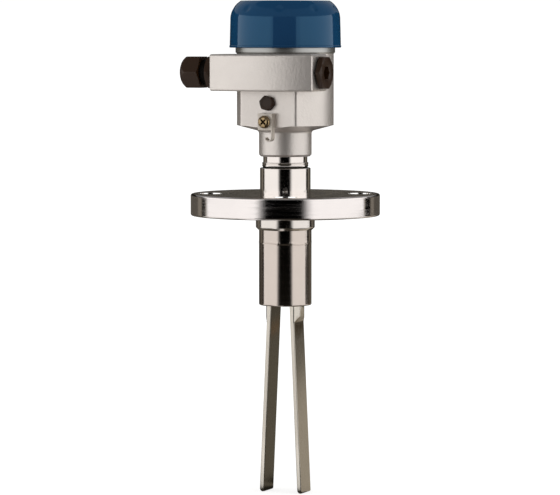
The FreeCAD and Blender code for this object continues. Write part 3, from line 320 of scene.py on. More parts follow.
@dataclass(frozen=True)
class WorkedSteel(Finish):
    """Stainless steel as the tool left it: fine lines round the axis, or along a brushed blade."""

    tones: Pair = (0.94, 1.05)
    roughness: Pair = (0.10, 0.18)
    lay: Lay = Lay.TURNED
    # A tool's lines are finer than a pixel, so they are drawn as coarse as they need to show
    line_mm: float = 0.35
    line_depth_mm: float = 0.002
    stretch: float = 60.0
    cloud_mm: float = 22.0
    # Painted shade: a brown band across a blade's root step, where it has one
    heat_level_mm: float | None = None
    heat_width_mm: float = 11.0
    heat_colour: str = "#80684A"
    heat_share: float = 0.8
    heat_half_mm: float = 8.0
    heat_fade_mm: float = 1.0

    def lines(self, tree: Tree, place: Socket) -> Socket:
        """Draw the tool's lines.

        Args:
            tree: The material's tree.
            place: The surface's place in millimetres.

        Returns:
            The lines' height, from 0 to 1.
        """
        scale = 1 / self.line_mm
        if self.lay is Lay.BRUSHED:
            drawn = add_node(tree, "ShaderNodeMapping", {
                "Vector": place, "Scale": (scale, scale, scale / self.stretch)})
            return add_node(tree, "ShaderNodeTexNoise", {
                "Vector": drawn.outputs[0], "Scale": 1.0, "Detail": 2.0}).outputs[0]
        axes = add_node(tree, "ShaderNodeSeparateXYZ", {0: place}).outputs
        across = add_node(tree, "ShaderNodeCombineXYZ", {0: axes[0], 1: axes[1]})
        radius = add_node(tree, "ShaderNodeVectorMath", {0: across.outputs[0]}, operation="LENGTH")
        reach = add_node(tree, "ShaderNodeMath", {0: radius.outputs["Value"], 1: axes[2]}, operation="ADD")
        step = add_node(tree, "ShaderNodeMath", {0: reach.outputs[0], 1: scale}, operation="MULTIPLY")
        slow = add_node(tree, "ShaderNodeVectorMath", {
            0: place, "Scale": 1 / (self.line_mm * self.stretch)}, operation="SCALE")
        return add_node(tree, "ShaderNodeTexNoise", {
            "Vector": slow.outputs[0], "W": step.outputs[0], "Scale": 1.0, "Detail": 2.0,
        }, noise_dimensions="4D").outputs[0]

    def build(self) -> Material:
        """Make the steel from its lines and faint clouds of tone.

        Returns:
            The finished material.
        """
        material, tree, place = self.start()
        lines = self.lines(tree, place)
        cloud = add_node(tree, "ShaderNodeTexNoise", {
            "Vector": place, "Scale": 1 / self.cloud_mm, "Detail": 3.0})
        bump = add_node(tree, "ShaderNodeBump", {
            "Height": lines, "Distance": self.line_depth_mm * MM, "Strength": 1.0})
        colour = self.toned(tree, cloud.outputs[0])
        # The blades get a band of painted shade at their root step.
        if self.heat_level_mm is not None:
            colour = self.heated(tree, place, colour)
        self.close(tree, lines, {"Base Color": colour, "Metallic": 1.0, "Normal": bump.outputs[0]})
        return material

    def heated(self, tree: Tree, place: Socket, colour: Socket) -> Socket:
        """Paint shade on a band across the blade's root step.

        Args:
            tree: The material's tree.
            place: The surface's place in millimetres.
            colour: The colour away from the band.

        Returns:
            The colour with the painted shade.
        """
        width, half, fade = self.heat_width_mm, self.heat_half_mm, self.heat_fade_mm
        axes = add_node(tree, "ShaderNodeSeparateXYZ", {0: place}).outputs
        patch = add_node(tree, "ShaderNodeTexNoise", {"Vector": place, "Scale": 1 / width, "Detail": 2.0})
        shifted = add_node(tree, "ShaderNodeMath", {
            0: patch.outputs[0], 1: width, 2: axes[2]}, operation="MULTIPLY_ADD")
        apart = add_node(tree, "ShaderNodeMath", {
            0: shifted.outputs[0], 1: self.heat_level_mm + width / 2}, operation="SUBTRACT")
        away = add_node(tree, "ShaderNodeMath", {0: apart.outputs[0]}, operation="ABSOLUTE")
        heat = add_node(tree, "ShaderNodeMapRange", {
            "Value": away.outputs[0], "From Min": 0.0, "From Max": width,
            "To Min": self.heat_share, "To Max": 0.0}, interpolation_type="SMOOTHSTEP")
        aside = add_node(tree, "ShaderNodeMath", {0: axes[1]}, operation="ABSOLUTE")
        inside = add_node(tree, "ShaderNodeMapRange", {
            "Value": aside.outputs[0], "From Min": half - fade, "From Max": half + fade,
            "To Min": 1.0, "To Max": 0.0})
        share = add_node(tree, "ShaderNodeMath", {
            0: heat.outputs[0], 1: inside.outputs[0]}, operation="MULTIPLY")
        return add_node(tree, "ShaderNodeMix", {
            0: share.outputs[0], 6: colour, 7: linear(self.heat_colour)}, data_type="RGBA").outputs[2]


@dataclass(frozen=True)
class PlainMetal(Finish):
    """Small stamped or turned fitting, plated or bare: soft scratches over a dull shine."""

    tones: Pair = (0.88, 1.06)
    roughness: Pair = (0.2, 0.38)
    # Real scratches are finer than a pixel, so they are drawn as coarse as they need to show
    scratch_mm: float = 0.5
    scratch_depth_mm: float = 0.004

    def build(self) -> Material:
        """Make the metal from scratches and handling marks.

        Returns:
            The finished material.
        """
        material, tree, place = self.start()
        scratch = add_node(tree, "ShaderNodeTexNoise", {
            "Vector": place, "Scale": 1 / self.scratch_mm, "Detail": 4.0, "Distortion": 0.6})
        bump = add_node(tree, "ShaderNodeBump", {
            "Height": scratch.outputs[0], "Distance": self.scratch_depth_mm * MM, "Strength": 1.0})
        self.close(tree, scratch.outputs[0], {
            "Base Color": self.toned(tree, scratch.outputs[0]), "Metallic": 1.0, "Normal": bump.outputs[0]})
        return material


@dataclass(frozen=True)
class Moulded(Finish):
    """Moulded plastic, rubber or fired ceramic: the fine texture of its mould over an even colour."""

    # A mould's texture is finer than a pixel, so it is drawn as coarse as it needs to show
    grain_mm: float = 0.4
    grain_depth_mm: float = 0.006
    flow_mm: float = 9.0
    ior: float = 1.5
    specular: float = 0.5
    transmission: float = 0.0

    def build(self) -> Material:
        """Make the moulding from its grain and faint flow marks.

        Returns:
            The finished material.
        """
        material, tree, place = self.start()
        grain = add_node(tree, "ShaderNodeTexNoise", {
            "Vector": place, "Scale": 1 / self.grain_mm, "Detail": 2.0})
        flow = add_node(tree, "ShaderNodeTexNoise", {
            "Vector": place, "Scale": 1 / self.flow_mm, "Detail": 2.0, "Distortion": 0.4})
        bump = add_node(tree, "ShaderNodeBump", {
            "Height": grain.outputs[0], "Distance": self.grain_depth_mm * MM, "Strength": 1.0})
        self.close(tree, grain.outputs[0], {
            "Base Color": self.toned(tree, flow.outputs[0]), "IOR": self.ior,
            "Specular IOR Level": self.specular, "Transmission Weight": self.transmission,
            "Normal": bump.outputs[0]})
        return material


# Satin light grey skin: it takes up the lamps as broad, soft bands
HOUSING_COAT = PowderCoat("powder_coat_light_grey", "housing_coating", "#D9D2CC")
# Deep blue enamel: sharp panes of light over a dark colour
LID_COAT = GlossCoat("gloss_enamel_blue", "lid_coating", "#183757")
# Machined rim above the coat: a brighter, cooler ring under the lid
RIM_METAL = PlainMetal("machined_aluminium", "housing_coating", "#B8B8B5", roughness=(0.3, 0.42))
# Fine-turned and polished stem: nearly a mirror, with faint rings
POLISHED_STEEL = WorkedSteel(
    "polished_stainless_steel", "process_steel", "#EAE2DC", roughness=(0.08, 0.14), line_depth_mm=0.0008)
# Painted shade in the stem's relief groove: dark steel that draws a thin dark line under the bead
SCALED_STEEL = WorkedSteel(
    "scaled_stainless_steel", "process_steel", "#26241F", roughness=(0.3, 0.45), line_depth_mm=0.0008)
# Ground tube and diaphragm: a little duller and warmer than the stem
GROUND_STEEL = WorkedSteel(
    "ground_stainless_tube", "process_steel", "#CEC2B9", roughness=(0.08, 0.15), line_depth_mm=0.0008)
# Turned collar under the flange: brighter than the tube below it
COLLAR_STEEL = WorkedSteel(
    "turned_stainless_collar", "process_steel", "#DED7D0", roughness=(0.10, 0.16), line_depth_mm=0.0008)
# Coarser turning on the flange: streaks round the rim and rings on its faces
FLANGE_STEEL = WorkedSteel(
    "turned_stainless_steel", "process_steel", "#ECE5E2", line_mm=1.5, line_depth_mm=0.0012, stretch=40.0,
    roughness=(0.06, 0.20))
# Reamed bolt holes: whiter than the flange's steel as a painted highlight, small mirrors that catch both
# lamps
BORED_STEEL = WorkedSteel(
    "reamed_stainless_steel", "process_steel", "#FBFAF8", line_mm=0.4, line_depth_mm=0.001,
    roughness=(0.12, 0.2))
# Belt-ground blades: lines along their length, and painted shade in a brown band across their root step
TINE_STEEL = WorkedSteel(
    "ground_stainless_blade", "process_steel", "#D2CBC0", lay=Lay.BRUSHED, line_mm=0.6, line_depth_mm=0.0012,
    roughness=(0.16, 0.24), heat_level_mm=-90.0)
# Painted shade on the inner faces of the tines: darker and duller than the ground outside, in place of the
# dark they mirror
PICKLED_STEEL = WorkedSteel(
    "pickled_stainless_blade", "process_steel", "#686255", lay=Lay.BRUSHED, line_mm=0.6, line_depth_mm=0.0012,
    roughness=(0.2, 0.28), heat_level_mm=-90.0)
# Zinc plate on pressed steel: pale and nearly matt
PLATED_STEEL = PlainMetal("zinc_plated_steel", "plain_steel", "#E0D8CE", roughness=(0.5, 0.65))
# Bare turned brass: a yellow glint on the screw's head
BRASS = PlainMetal("bare_brass", "brass", "#A08A68", roughness=(0.08, 0.2))
# Painted shade in the screw's recess: dark brown brass that draws the cross
TARNISHED_BRASS = PlainMetal("tarnished_brass", "brass", "#3B2D1D", roughness=(0.45, 0.6))
# Moulded nylon: brownish black with a soft sheen
NYLON = Moulded("moulded_black_nylon", "black_nylon", "#2A190B", roughness=(0.3, 0.4), specular=0.28)
# Nylon thread and sleeve: black without a sheen, painted shadow of the nut over them
THREAD_NYLON = Moulded(
    "moulded_nylon_thread", "black_nylon", "#0C0805", roughness=(0.45, 0.6), specular=0.12)
# Moulded rubber: matt black
RUBBER = Moulded("moulded_black_rubber", "black_rubber", "#171615", grain_mm=0.3, roughness=(0.6, 0.75))
# Insert's cup, cover and switch: even dark grey
INSERT_PLASTIC = Moulded("moulded_dark_plastic", "insert_plastic", "#34373A")
# Terminal block: even light grey
TERMINAL_PLASTIC = Moulded("moulded_grey_plastic", "terminal_plastic", "#B4B6B5")
# Slider's knob: warm white
SLIDER_PLASTIC = Moulded("moulded_white_plastic", "slider_plastic", "#E2E0D9")
# Indicator's lens: clear green that light passes
LENS_PLASTIC = Moulded(
    "clear_green_plastic", "light_lens", "#59C46A", grain_depth_mm=0.001, roughness=(0.05, 0.12),
    transmission=0.6)
# Lacquered circuit board: green with a low gloss
LAMINATE = Moulded("coated_glass_laminate", "board_laminate", "#2F7D4C", roughness=(0.25, 0.4))
# Fired piezo discs: matt sand colour
PIEZO_CERAMIC = Moulded("fired_piezo_ceramic", "piezo_ceramic", "#C3B695", roughness=(0.55, 0.7))
# Fired alumina discs: chalky white
INSULATOR_CERAMIC = Moulded("fired_alumina", "insulator_ceramic", "#F0EEE9", roughness=(0.4, 0.55))
# Extruded jacket of the leads: red with a low gloss
WIRE_JACKET = Moulded("extruded_wire_jacket", "wire_jacket", "#B5322C", roughness=(0.3, 0.42))


def levels(node: str) -> Pair:
    """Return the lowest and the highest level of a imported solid, by its name."""
    low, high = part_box(node)
    return low.z * PER_METRE, high.z * PER_METRE


def nearest_turn(angle: float, start: float, count: int) -> float:
    """Find the nearest of some evenly spaced angles.

    Args:
        angle: The angle to look from.
        start: One of the spaced angles.
        count: How many there are in a full turn.

    Returns:
        The nearest spaced angle.
    """
    pitch = math.tau / count
    return round((angle - start) / pitch) * pitch + start


def rounded_outline(corners: Sequence[Corner]) -> list[Pair]:
    """Round the corners of a closed profile and hold its flats next to each round.

    Args:
        corners: The profile's corners in order.

    Returns:
        Radius and level of each point of the profile.
    """
    points: list[Pair] = []
    for index, corner in enumerate(corners):
        tip = corner.point
        back = corners[index - 1].point - tip
        ahead = corners[(index + 1) % len(corners)].point - tip
        if corner.round <= 0:
            points.append((tip.x, tip.y))
            continue
        half = back.angle(ahead) / 2
        room = min(back.length, ahead.length) / 2
        reach = min(corner.round / math.tan(half), room - HOLD)
        radius = reach * math.tan(half)
        back.normalize()
        ahead.normalize()
        centre = tip + (back + ahead).normalized() * (radius / math.sin(half))
        spoke = tip + back * reach - centre
        turn = math.copysign(math.pi - 2 * half, -back.cross(ahead))
        held = [tip + back * (reach + HOLD)]
        for step in range(ARC_STEPS + 1):
            held.append(centre + Matrix.Rotation(turn * step / ARC_STEPS, 2) @ spoke)
        held.append(tip + ahead * (reach + HOLD))
        points.extend((point.x, point.y) for point in held)
    return points


def bowed(start: Corner, end: Corner, height: float, steps: int) -> list[Corner]:
    """Sample an arc between two corners, bowed away from the axis.

    Args:
        start: Where the arc begins.
        end: Where the arc ends.
        height: How far its middle stands off the straight run.
        steps: How many runs it is divided into.

    Returns:
        The corners along the arc, both ends included.
    """
    first, last = start.point, end.point
    chord = last - first
    outward = Vector((chord.y, -chord.x)).normalized()
    radius = chord.length_squared / (8 * height) + height / 2
    centre = (first + last) / 2 - outward * (radius - height)
    sweep = 2 * math.asin(chord.length / (2 * radius))
    corners = []
    for step in range(steps + 1):
        point = centre + Matrix.Rotation(sweep * step / steps, 2) @ (first - centre)
        corners.append(Corner(point.x, point.y))
    return corners


def straight(start: Corner, end: Corner, steps: int) -> list[Corner]:
    """Divide a straight run of a profile, both ends included.

    Args:
        start: Where the run begins.
        end: Where the run ends.
        steps: How many parts it gets.

    Returns:
        The corners along the run.
    """
    shares = [step / steps for step in range(steps + 1)]
    return [Corner(start.radius + (end.radius - start.radius) * share,
                   start.level + (end.level - start.level) * share) for share in shares]


def hex_reach(flats: float, angle: float) -> float:
    """Distance from a hexagon's middle to its edge, its corners a little rounded.

    Args:
        flats: Width across the flats.
        angle: Angle from one of its corners.

    Returns:
        The distance, in the unit of the width.
    """
    half_side = math.pi / HEX_SIDES
    pulls = [max(0.0, math.cos(angle - half_side * (2 * side + 1))) for side in range(HEX_SIDES)]
    return flats / 2 / sum(pull ** HEX_CRISPNESS for pull in pulls) ** (1 / HEX_CRISPNESS)


@dataclass(frozen=True)
class HexForm:
    """Hexagon that limits a turned form, with a hexagon socket in it where it has one."""

    flats: float
    turn: float
    socket: float = 0.0

    @property
    def corner(self) -> float:
        """Distance from the middle to a corner."""
        return self.flats / math.sqrt(3)

    @property
    def socket_corner(self) -> float:
        """Distance from the middle to a corner of the socket."""
        return self.socket / math.sqrt(3)

    @property
    def face_radius(self) -> float:
        """Radius of the round face inside the chamfered corners."""
        return self.flats / 2 - SEAM

    def clip(self, point: Vector) -> Vector:
        """Move a point of the turned form in to the hexagon.

        Args:
            point: The point, in millimetres.

        Returns:
            The point on the hexagon or inside it.
        """
        radius = math.hypot(point.x, point.y)
        width = self.socket if radius <= self.socket_corner + SMALLEST else self.flats
        limit = hex_reach(width, math.atan2(point.y, point.x) - self.turn)
        share = min(1.0, limit / radius) if radius > SMALLEST else 1.0
        return Vector((point.x * share, point.y * share, point.z))


def shade(mesh: Mesh) -> None:
    """Shade a mesh smooth between its sharp edges."""
    mesh.shade_smooth()
    mesh.set_sharp_from_angle(angle=SHARP_ANGLE)


def link_object(name: str, data: bpy.types.ID) -> Piece:
    """Put a mesh, a lamp or a camera in the scene.

    Args:
        name: Name of the object.
        data: What it holds.

    Returns:
        The new object.
    """
    item = bpy.data.objects.new(name, data)
    bpy.context.scene.collection.objects.link(item)
    return item


def new_object(name: str, mesh: Mesh, finish: Finish) -> Piece:
    """Put a mesh in the scene with its finish and smooth shading.

    Args:
        name: Name of the piece.
        mesh: Its mesh, in place.
        finish: Its finish.

    Returns:
        The new object.
    """
    mesh.materials.clear()
    mesh.materials.append(finish.material())
    shade(mesh)
    return link_object(name, mesh)


def paint(mesh: Mesh, finish: Finish, chosen: Callable[[Face], bool]) -> None:
    """Give some faces a second finish.

    Args:
        mesh: The mesh, which has its first finish.
        finish: The second finish.
        chosen: Tells whether a face gets it.
    """
    mesh.materials.append(finish.material())
    for face in mesh.polygons:
        face.material_index = int(chosen(face))


def to_mesh(work: bmesh.types.BMesh, name: str) -> Mesh:
    """Turn a finished bmesh into a new mesh.

    Args:
        work: The bmesh, which is freed.
        name: Name of the mesh.

    Returns:
        The mesh.
    """
    mesh = bpy.data.meshes.new(name)
    work.to_mesh(mesh)
    work.free()
    return mesh


def lathe(
    name: str, corners: Sequence[Corner], finish: Finish,
    shape: Move | None = None, place: Matrix | None = None,
) -> Piece:
    """Turn a closed profile about Z.

    Args:
        name: Name of the piece.
        corners: The profile's corners, in millimetres.
        finish: Its finish.
        shape: Moves each point, in millimetres, where the piece isn't quite round.
        place: Where the turned axis stands, in metres, if it isn't the frame's own.

    Returns:
        The turned piece.
    """
    work = bmesh.new()
    rings = []
    for radius, level in rounded_outline(corners):
        count = AROUND if radius > SMALLEST else 1
        ring = []
        for step in range(count):
            angle = math.tau * step / count
            point = Vector((radius * math.cos(angle), radius * math.sin(angle), level))
            ring.append(work.verts.new((shape(point) if shape else point) * MM))
        rings.append(ring)
    for ring, following in zip(rings, rings[1:] + rings[:1]):
        for step in range(AROUND):
            around = [ring[step % len(ring)], ring[(step + 1) % len(ring)],
                      following[(step + 1) % len(following)], following[step % len(following)]]
            unique = list(dict.fromkeys(around))
            if len(unique) > 2:
                work.faces.new(unique)
    bmesh.ops.recalc_face_normals(work, faces=work.faces)
    mesh = to_mesh(work, name)
    if place is not None:
        mesh.transform(place)
    return new_object(name, mesh, finish)


def prism(name: str, outline: Sequence[Pair], ends: Pair, finish: Finish) -> Piece:
    """Stand a closed outline upright along Z.

    Args:
        name: Name of the piece.
        outline: Corners along X and Y, in millimetres.
        ends: Lower and upper level, in millimetres.
        finish: Its finish.

    Returns:
        The upright piece.
    """
    work = bmesh.new()
    lower, upper = ([work.verts.new((x * MM, y * MM, level * MM)) for x, y in outline] for level in ends)
    work.faces.new(lower)
    work.faces.new(upper)
    for step, corner in enumerate(lower):
        following = (step + 1) % len(lower)
        work.faces.new((corner, lower[following], upper[following], upper[step]))
    bmesh.ops.recalc_face_normals(work, faces=work.faces)
    return new_object(name, to_mesh(work, name), finish)


def softened(source: Piece, name: str, finish: Finish, bevel: float = 0.0) -> Piece:
    """Copy a solid and break its sharp edges as casting, moulding or deburring does.

    Args:
        source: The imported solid.
        name: Name of the piece.
        finish: Its finish.
        bevel: Width of the broken edges in millimetres, or 0 where the solid has its rounding.

    Returns:
        The softened copy.
    """
    work = bmesh.new()
    verts = [work.verts.new(vertex.co) for vertex in source.data.vertices]
    for polygon in source.data.polygons:
        work.faces.new([verts[index] for index in polygon.vertices])
    bmesh.ops.remove_doubles(work, verts=work.verts, dist=MERGE_DISTANCE)
    bmesh.ops.dissolve_limit(work, angle_limit=FLAT_ANGLE, verts=work.verts, edges=work.edges)
    piece = new_object(name, to_mesh(work, name), finish)
    if bevel:
        edges = piece.modifiers.new("broken_edges", "BEVEL")
        edges.width = bevel * MM
        edges.segments = BEVEL_STEPS
        edges.limit_method = "ANGLE"
        edges.angle_limit = SHARP_ANGLE
        edges.use_clamp_overlap = False
    normals = piece.modifiers.new("even_normals", "WEIGHTED_NORMAL")
    normals.keep_sharp = True
    return piece


def settle(piece: Piece, body: str, finish: Finish, *nodes: str) -> None:
    """Let a piece ride on its body, and stand for the solids that it replaces.

    Args:
        piece: The finished piece.
        body: The body it moves with.
        finish: Not used.
        nodes: The solids that it stands for.
    """
    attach(piece, body)
    for node in nodes:
        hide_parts(node)
    LOG.info("%s rides on %s", piece.name, body)


def run_tree(tree: Tree, mesh: Mesh, name: str, values: Mapping[str, Any]) -> Mesh:
    """Run a geometry tree on a mesh, which is spent.

    Args:
        tree: The geometry tree.
        mesh: What it works on.
        name: Name of the result.
        values: A value for each named input.

    Returns:
        The result as a plain mesh.
    """
    piece = link_object(name, mesh)
    modifier = piece.modifiers.new(tree.name, "NODES")
    modifier.node_group = tree
    for item in tree.interface.items_tree:
        if item.in_out == "INPUT" and item.name in values:
            modifier[item.identifier] = values[item.name]
    evaluated = piece.evaluated_get(bpy.context.evaluated_depsgraph_get())
    result = bpy.data.meshes.new_from_object(evaluated)
    result.name = name
    bpy.data.objects.remove(piece)
    bpy.data.meshes.remove(mesh)
    return result


def new_tree(name: str, inputs: Mapping[str, str]) -> tuple[Tree, Node]:
    """Start a geometry tree with named inputs.

    Args:
        name: Name of the tree.
        inputs: The socket type of each input.

    Returns:
        The tree and its input node.
    """
    tree = bpy.data.node_groups.new(name, "GeometryNodeTree")
    tree.interface.new_socket("Geometry", in_out="INPUT", socket_type="NodeSocketGeometry")
    tree.interface.new_socket("Geometry", in_out="OUTPUT", socket_type="NodeSocketGeometry")
    for label, kind in inputs.items():
        tree.interface.new_socket(label, in_out="INPUT", socket_type=kind)
    return tree, tree.nodes.new("NodeGroupInput")


def end_tree(tree: Tree, entry: Node, geometry: Socket) -> Tree:
    """End a geometry tree in real geometry with its material.

    Args:
        tree: The tree.
        entry: Its input node, which has an input named Material.
        geometry: What the tree has made.

    Returns:
        The finished tree.
    """
    real = add_node(tree, "GeometryNodeRealizeInstances", {0: geometry})
    dressed = add_node(tree, "GeometryNodeSetMaterial", {
        "Geometry": real.outputs[0], "Material": entry.outputs["Material"]})
    add_node(tree, "NodeGroupOutput", {0: dressed.outputs[0]})
    return tree


def thread_tree() -> Tree:
    """Make the tree that winds a screw thread about Z from level 0 upwards.

    Returns:
        The geometry tree.
    """
    tree, entry = new_tree("screw_thread", {
        "Radius": "NodeSocketFloat", "Length": "NodeSocketFloat", "Turns": "NodeSocketFloat",
        "Crest": "NodeSocketFloat", "Material": "NodeSocketMaterial"})
    given = entry.outputs
    helix = add_node(tree, "GeometryNodeCurveSpiral", {
        "Resolution": THREAD_STEPS, "Rotations": given["Turns"], "Start Radius": given["Radius"],
        "End Radius": given["Radius"], "Height": given["Length"]})
    section = add_node(tree, "GeometryNodeCurvePrimitiveCircle", {
        "Resolution": THREAD_SIDES, "Radius": given["Crest"]})
    swept = add_node(tree, "GeometryNodeCurveToMesh", {
        "Curve": helix.outputs[0], "Profile Curve": section.outputs[0], "Fill Caps": True})
    return end_tree(tree, entry, swept.outputs[0])


def hole_tree() -> Tree:
    """Make the tree that cuts a ring of holes, each shaped like the cutter object.

    Returns:
        The geometry tree.
    """
    tree, entry = new_tree("ring_of_holes", {
        "Circle": "NodeSocketFloat", "Count": "NodeSocketInt", "Turn": "NodeSocketFloat",
        "Cutter": "NodeSocketObject", "Material": "NodeSocketMaterial"})
    given = entry.outputs
    ring = add_node(tree, "GeometryNodeMeshCircle", {"Vertices": given["Count"], "Radius": given["Circle"]})
    angle = add_node(tree, "ShaderNodeCombineXYZ", {2: given["Turn"]})
    turned = add_node(tree, "GeometryNodeTransform", {
        "Geometry": ring.outputs[0], "Rotation": angle.outputs[0]})
    cutter = add_node(tree, "GeometryNodeObjectInfo", {"Object": given["Cutter"]})
    placed = add_node(tree, "GeometryNodeInstanceOnPoints", {
        "Points": turned.outputs[0], "Instance": cutter.outputs["Geometry"]})
    real = add_node(tree, "GeometryNodeRealizeInstances", {0: placed.outputs[0]})
    holed = add_node(tree, "GeometryNodeMeshBoolean", {
        "Mesh 1": given["Geometry"], "Mesh 2": real.outputs[0]}, operation="DIFFERENCE", solver="EXACT")
    return end_tree(tree, entry, holed.outputs[0])


@dataclass(frozen=True)
class Screw:
    """A wound thread on a cylinder."""

    name: str
    radius: float
    length: float
    pitch: float
    crest: float

    def wind(self, body: str, finish: Finish, place: Matrix) -> None:
        """Wind the thread as a piece.

        Args:
            body: The body it moves with.
            finish: Finish of the thread.
            place: Where its start and axis lie, in metres.
        """
        tree = bpy.data.node_groups.get("screw_thread") or thread_tree()
        mesh = run_tree(tree, bpy.data.meshes.new(self.name), self.name, {
            "Radius": self.radius * MM, "Length": self.length * MM, "Turns": self.length / self.pitch,
            "Crest": self.crest * MM, "Material": finish.material()})
        mesh.transform(place)
        settle(new_object(self.name, mesh, finish), body, finish)


@dataclass
class Lid:
    """Screw lid: a skirt, a rounded shoulder with grip dimples, and a flat crown."""

    radius: float = 44.9
    bead_height: float = 1.6
    bead_step: float = 0.3
    draft: float = 0.78
    skirt_start: Pair = (0.02, 4.0)
    skirt_end: Pair = (0.01, 0.25)
    skirt_steps: int = 4
    shoulder_height: float = 15.0
    shoulder_bow: float = 2.3
    shoulder_steps: int = 40
    crown_radius: float = 35.6
    crown_rim: Pair = (2.0, 3.0)
    crown_dish: float = 0.35
    roof: float = 3.9
    bore_radius: float = 40.3
    inner_radius: float = 35.5
    inner_slope: float = 5.0
    seat_rise: float = 16.1
    dimple_count: int = 9
    dimple_turn: float = math.radians(-72.5)
    dimple_radius: float = 4.3
    dimple_depth: float = 0.95
    dimple_margin: float = 1.0
    thread: Screw = Screw("lid_thread", 40.35, 9.0, 3.0, 0.35)
    thread_start: float = 5.4

    @property
    def shoulder_radius(self) -> float:
        """Radius at the drafted skirt's upper end."""
        return self.radius - self.draft

    def dimpled(self, low: float, high: float) -> Move:
        """Place the dimples on the shoulder.

        Args:
            low: Level where the shoulder starts.
            high: Level of the crown.

        Returns:
            The move that presses them in.
        """
        reach = (self.shoulder_radius + self.crown_radius) / 2
        fall = self.shoulder_radius - self.crown_radius
        slope = math.hypot(fall, self.shoulder_height)
        middle = (low + high) / 2 + self.shoulder_bow * fall / slope
        reach += self.shoulder_bow * self.shoulder_height / slope

        def press(point: Vector) -> Vector:
            """Move a point of the shoulder inwards where a dimple is.

            Args:
                point: The point, in millimetres.

            Returns:
                The moved point.
            """
            radius = math.hypot(point.x, point.y)
            if point.z < low - self.dimple_margin or radius < self.crown_radius - self.dimple_radius:
                return point
            angle = math.atan2(point.y, point.x)
            nearest = nearest_turn(angle, self.dimple_turn, self.dimple_count)
            centre = Vector((reach * math.cos(nearest), reach * math.sin(nearest), middle))
            share = (point - centre).length / self.dimple_radius
            if share >= 1:
                return point
            outward = Vector((
                math.cos(angle) * self.shoulder_height, math.sin(angle) * self.shoulder_height, fall))
            return point - outward.normalized() * self.dimple_depth * (1 - share ** 2) ** 2

        return press

    def build(self) -> None:
        """Make the lid and the thread inside its skirt."""
        low, high = levels("lid")
        shoulder = high - self.shoulder_height
        seat = low + self.seat_rise
        dish = high - self.crown_dish
        skirt = self.radius - self.bead_step
        (inset, rise), (outset, drop) = self.skirt_start, self.skirt_end
        arc = bowed(Corner(self.shoulder_radius, shoulder), Corner(self.crown_radius, high),
                    self.shoulder_bow, self.shoulder_steps)
        corners = [
            Corner(self.bore_radius, low, 0.5),
            Corner(self.radius, low, 0.6),
            Corner(self.radius, low + self.bead_height, 0.5),
            Corner(skirt, low + self.bead_height + self.bead_step, 0.3),
            *straight(Corner(skirt - inset, low + rise),
                      Corner(self.shoulder_radius + outset, shoulder - drop), self.skirt_steps),
            *arc[:-1],
            Corner(self.crown_radius, high, 0.8),
            Corner(self.crown_radius - self.crown_rim[0], high, 0.6),
            Corner(self.crown_radius - self.crown_rim[1], dish, 0.6),
            Corner(self.crown_radius / 2, dish),
            Corner(0.0, dish),
            Corner(0.0, high - self.roof),
            Corner(self.inner_radius - self.inner_slope, high - self.roof, 2.0),
            Corner(self.inner_radius, high - self.roof - self.inner_slope, 2.0),
            Corner(self.inner_radius, seat, 0.3),
            Corner(self.bore_radius, seat, 0.3),
        ]
        settle(lathe("lid_shell", corners, LID_COAT, self.dimpled(shoulder, high)), "lid", LID_COAT, "lid")
        self.thread.wind("lid", LID_COAT, Matrix.Translation((0.0, 0.0, (low + self.thread_start) * MM)))


@dataclass
class Housing:
    """Die-cast housing: the casting, the blends beside its flat front, and the thread on its rim."""

    rim_level: float = 129.95
    rim_inner: float = 37.0
    thread: Screw = Screw("rim_thread", 39.75, 11.0, 3.0, 0.4)
    thread_drop: float = 12.4
    body_radius: float = 38.9
    pad_half: float = 22.9
    pad_depth: float = 33.6
    pad_round: float = 2.1
    pad_spread: float = 1.85
    pad_levels: Pair = (72.65, 100.6)
    blend_round: float = 3.0
    blend_steps: int = 8
    blend_sink: float = 0.3

    def blend_outline(self, side: int) -> list[Pair]:
        """Draw the section of the casting's blend from the flat front to the round body.

        Args:
            side: Sign of the blend's side along X.

        Returns:
            Corners along X and Y, in millimetres.
        """
        def ray(angle: float) -> Vector:
            """Return the direction at an angle from the flat front's."""
            return Vector((math.sin(angle), math.cos(angle)))

        reach = self.pad_half - self.pad_round
        middle = Vector((reach + self.pad_spread, self.pad_depth - self.blend_round))
        lean = math.acos((self.body_radius - self.blend_round) / middle.length)
        away = math.atan2(middle.x, middle.y) + lean
        foot = math.asin(self.pad_half / self.body_radius)
        shares = [step / self.blend_steps for step in range(self.blend_steps + 1)]
        corners = [Vector((reach, self.pad_depth))]
        corners += [middle + ray(away * share) * self.blend_round for share in shares]
        corners.append(ray(away) * self.body_radius)
        sunk = self.body_radius - self.blend_sink
        corners += [ray(away + (foot - away) * share) * sunk for share in shares]
        corners.append(corners[0] - Vector((0.0, self.blend_sink)))
        return [(corner.x * side, -corner.y) for corner in corners]

    def on_rim(self, face: Face) -> bool:
        """Tell whether a face of the casting is on its machined rim."""
        away = math.hypot(face.center.x, face.center.y)
        return face.center.z > self.rim_level * MM and away > self.rim_inner * MM

    def build(self, nodes: Nodes) -> None:
        """Make the casting, its blends and its thread.

        Args:
            nodes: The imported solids.
        """
        shell = softened(nodes["housing"], "housing_casting", HOUSING_COAT)
        paint(shell.data, RIM_METAL, self.on_rim)
        settle(shell, "probe", HOUSING_COAT, "housing")
        for name, side in (("left", -1), ("right", 1)):
            blend = prism(f"pad_blend_{name}", self.blend_outline(side), self.pad_levels, HOUSING_COAT)
            settle(blend, "probe", HOUSING_COAT)
        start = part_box("housing")[1].z - self.thread_drop * MM
        self.thread.wind("probe", HOUSING_COAT, Matrix.Translation((0.0, 0.0, start)))


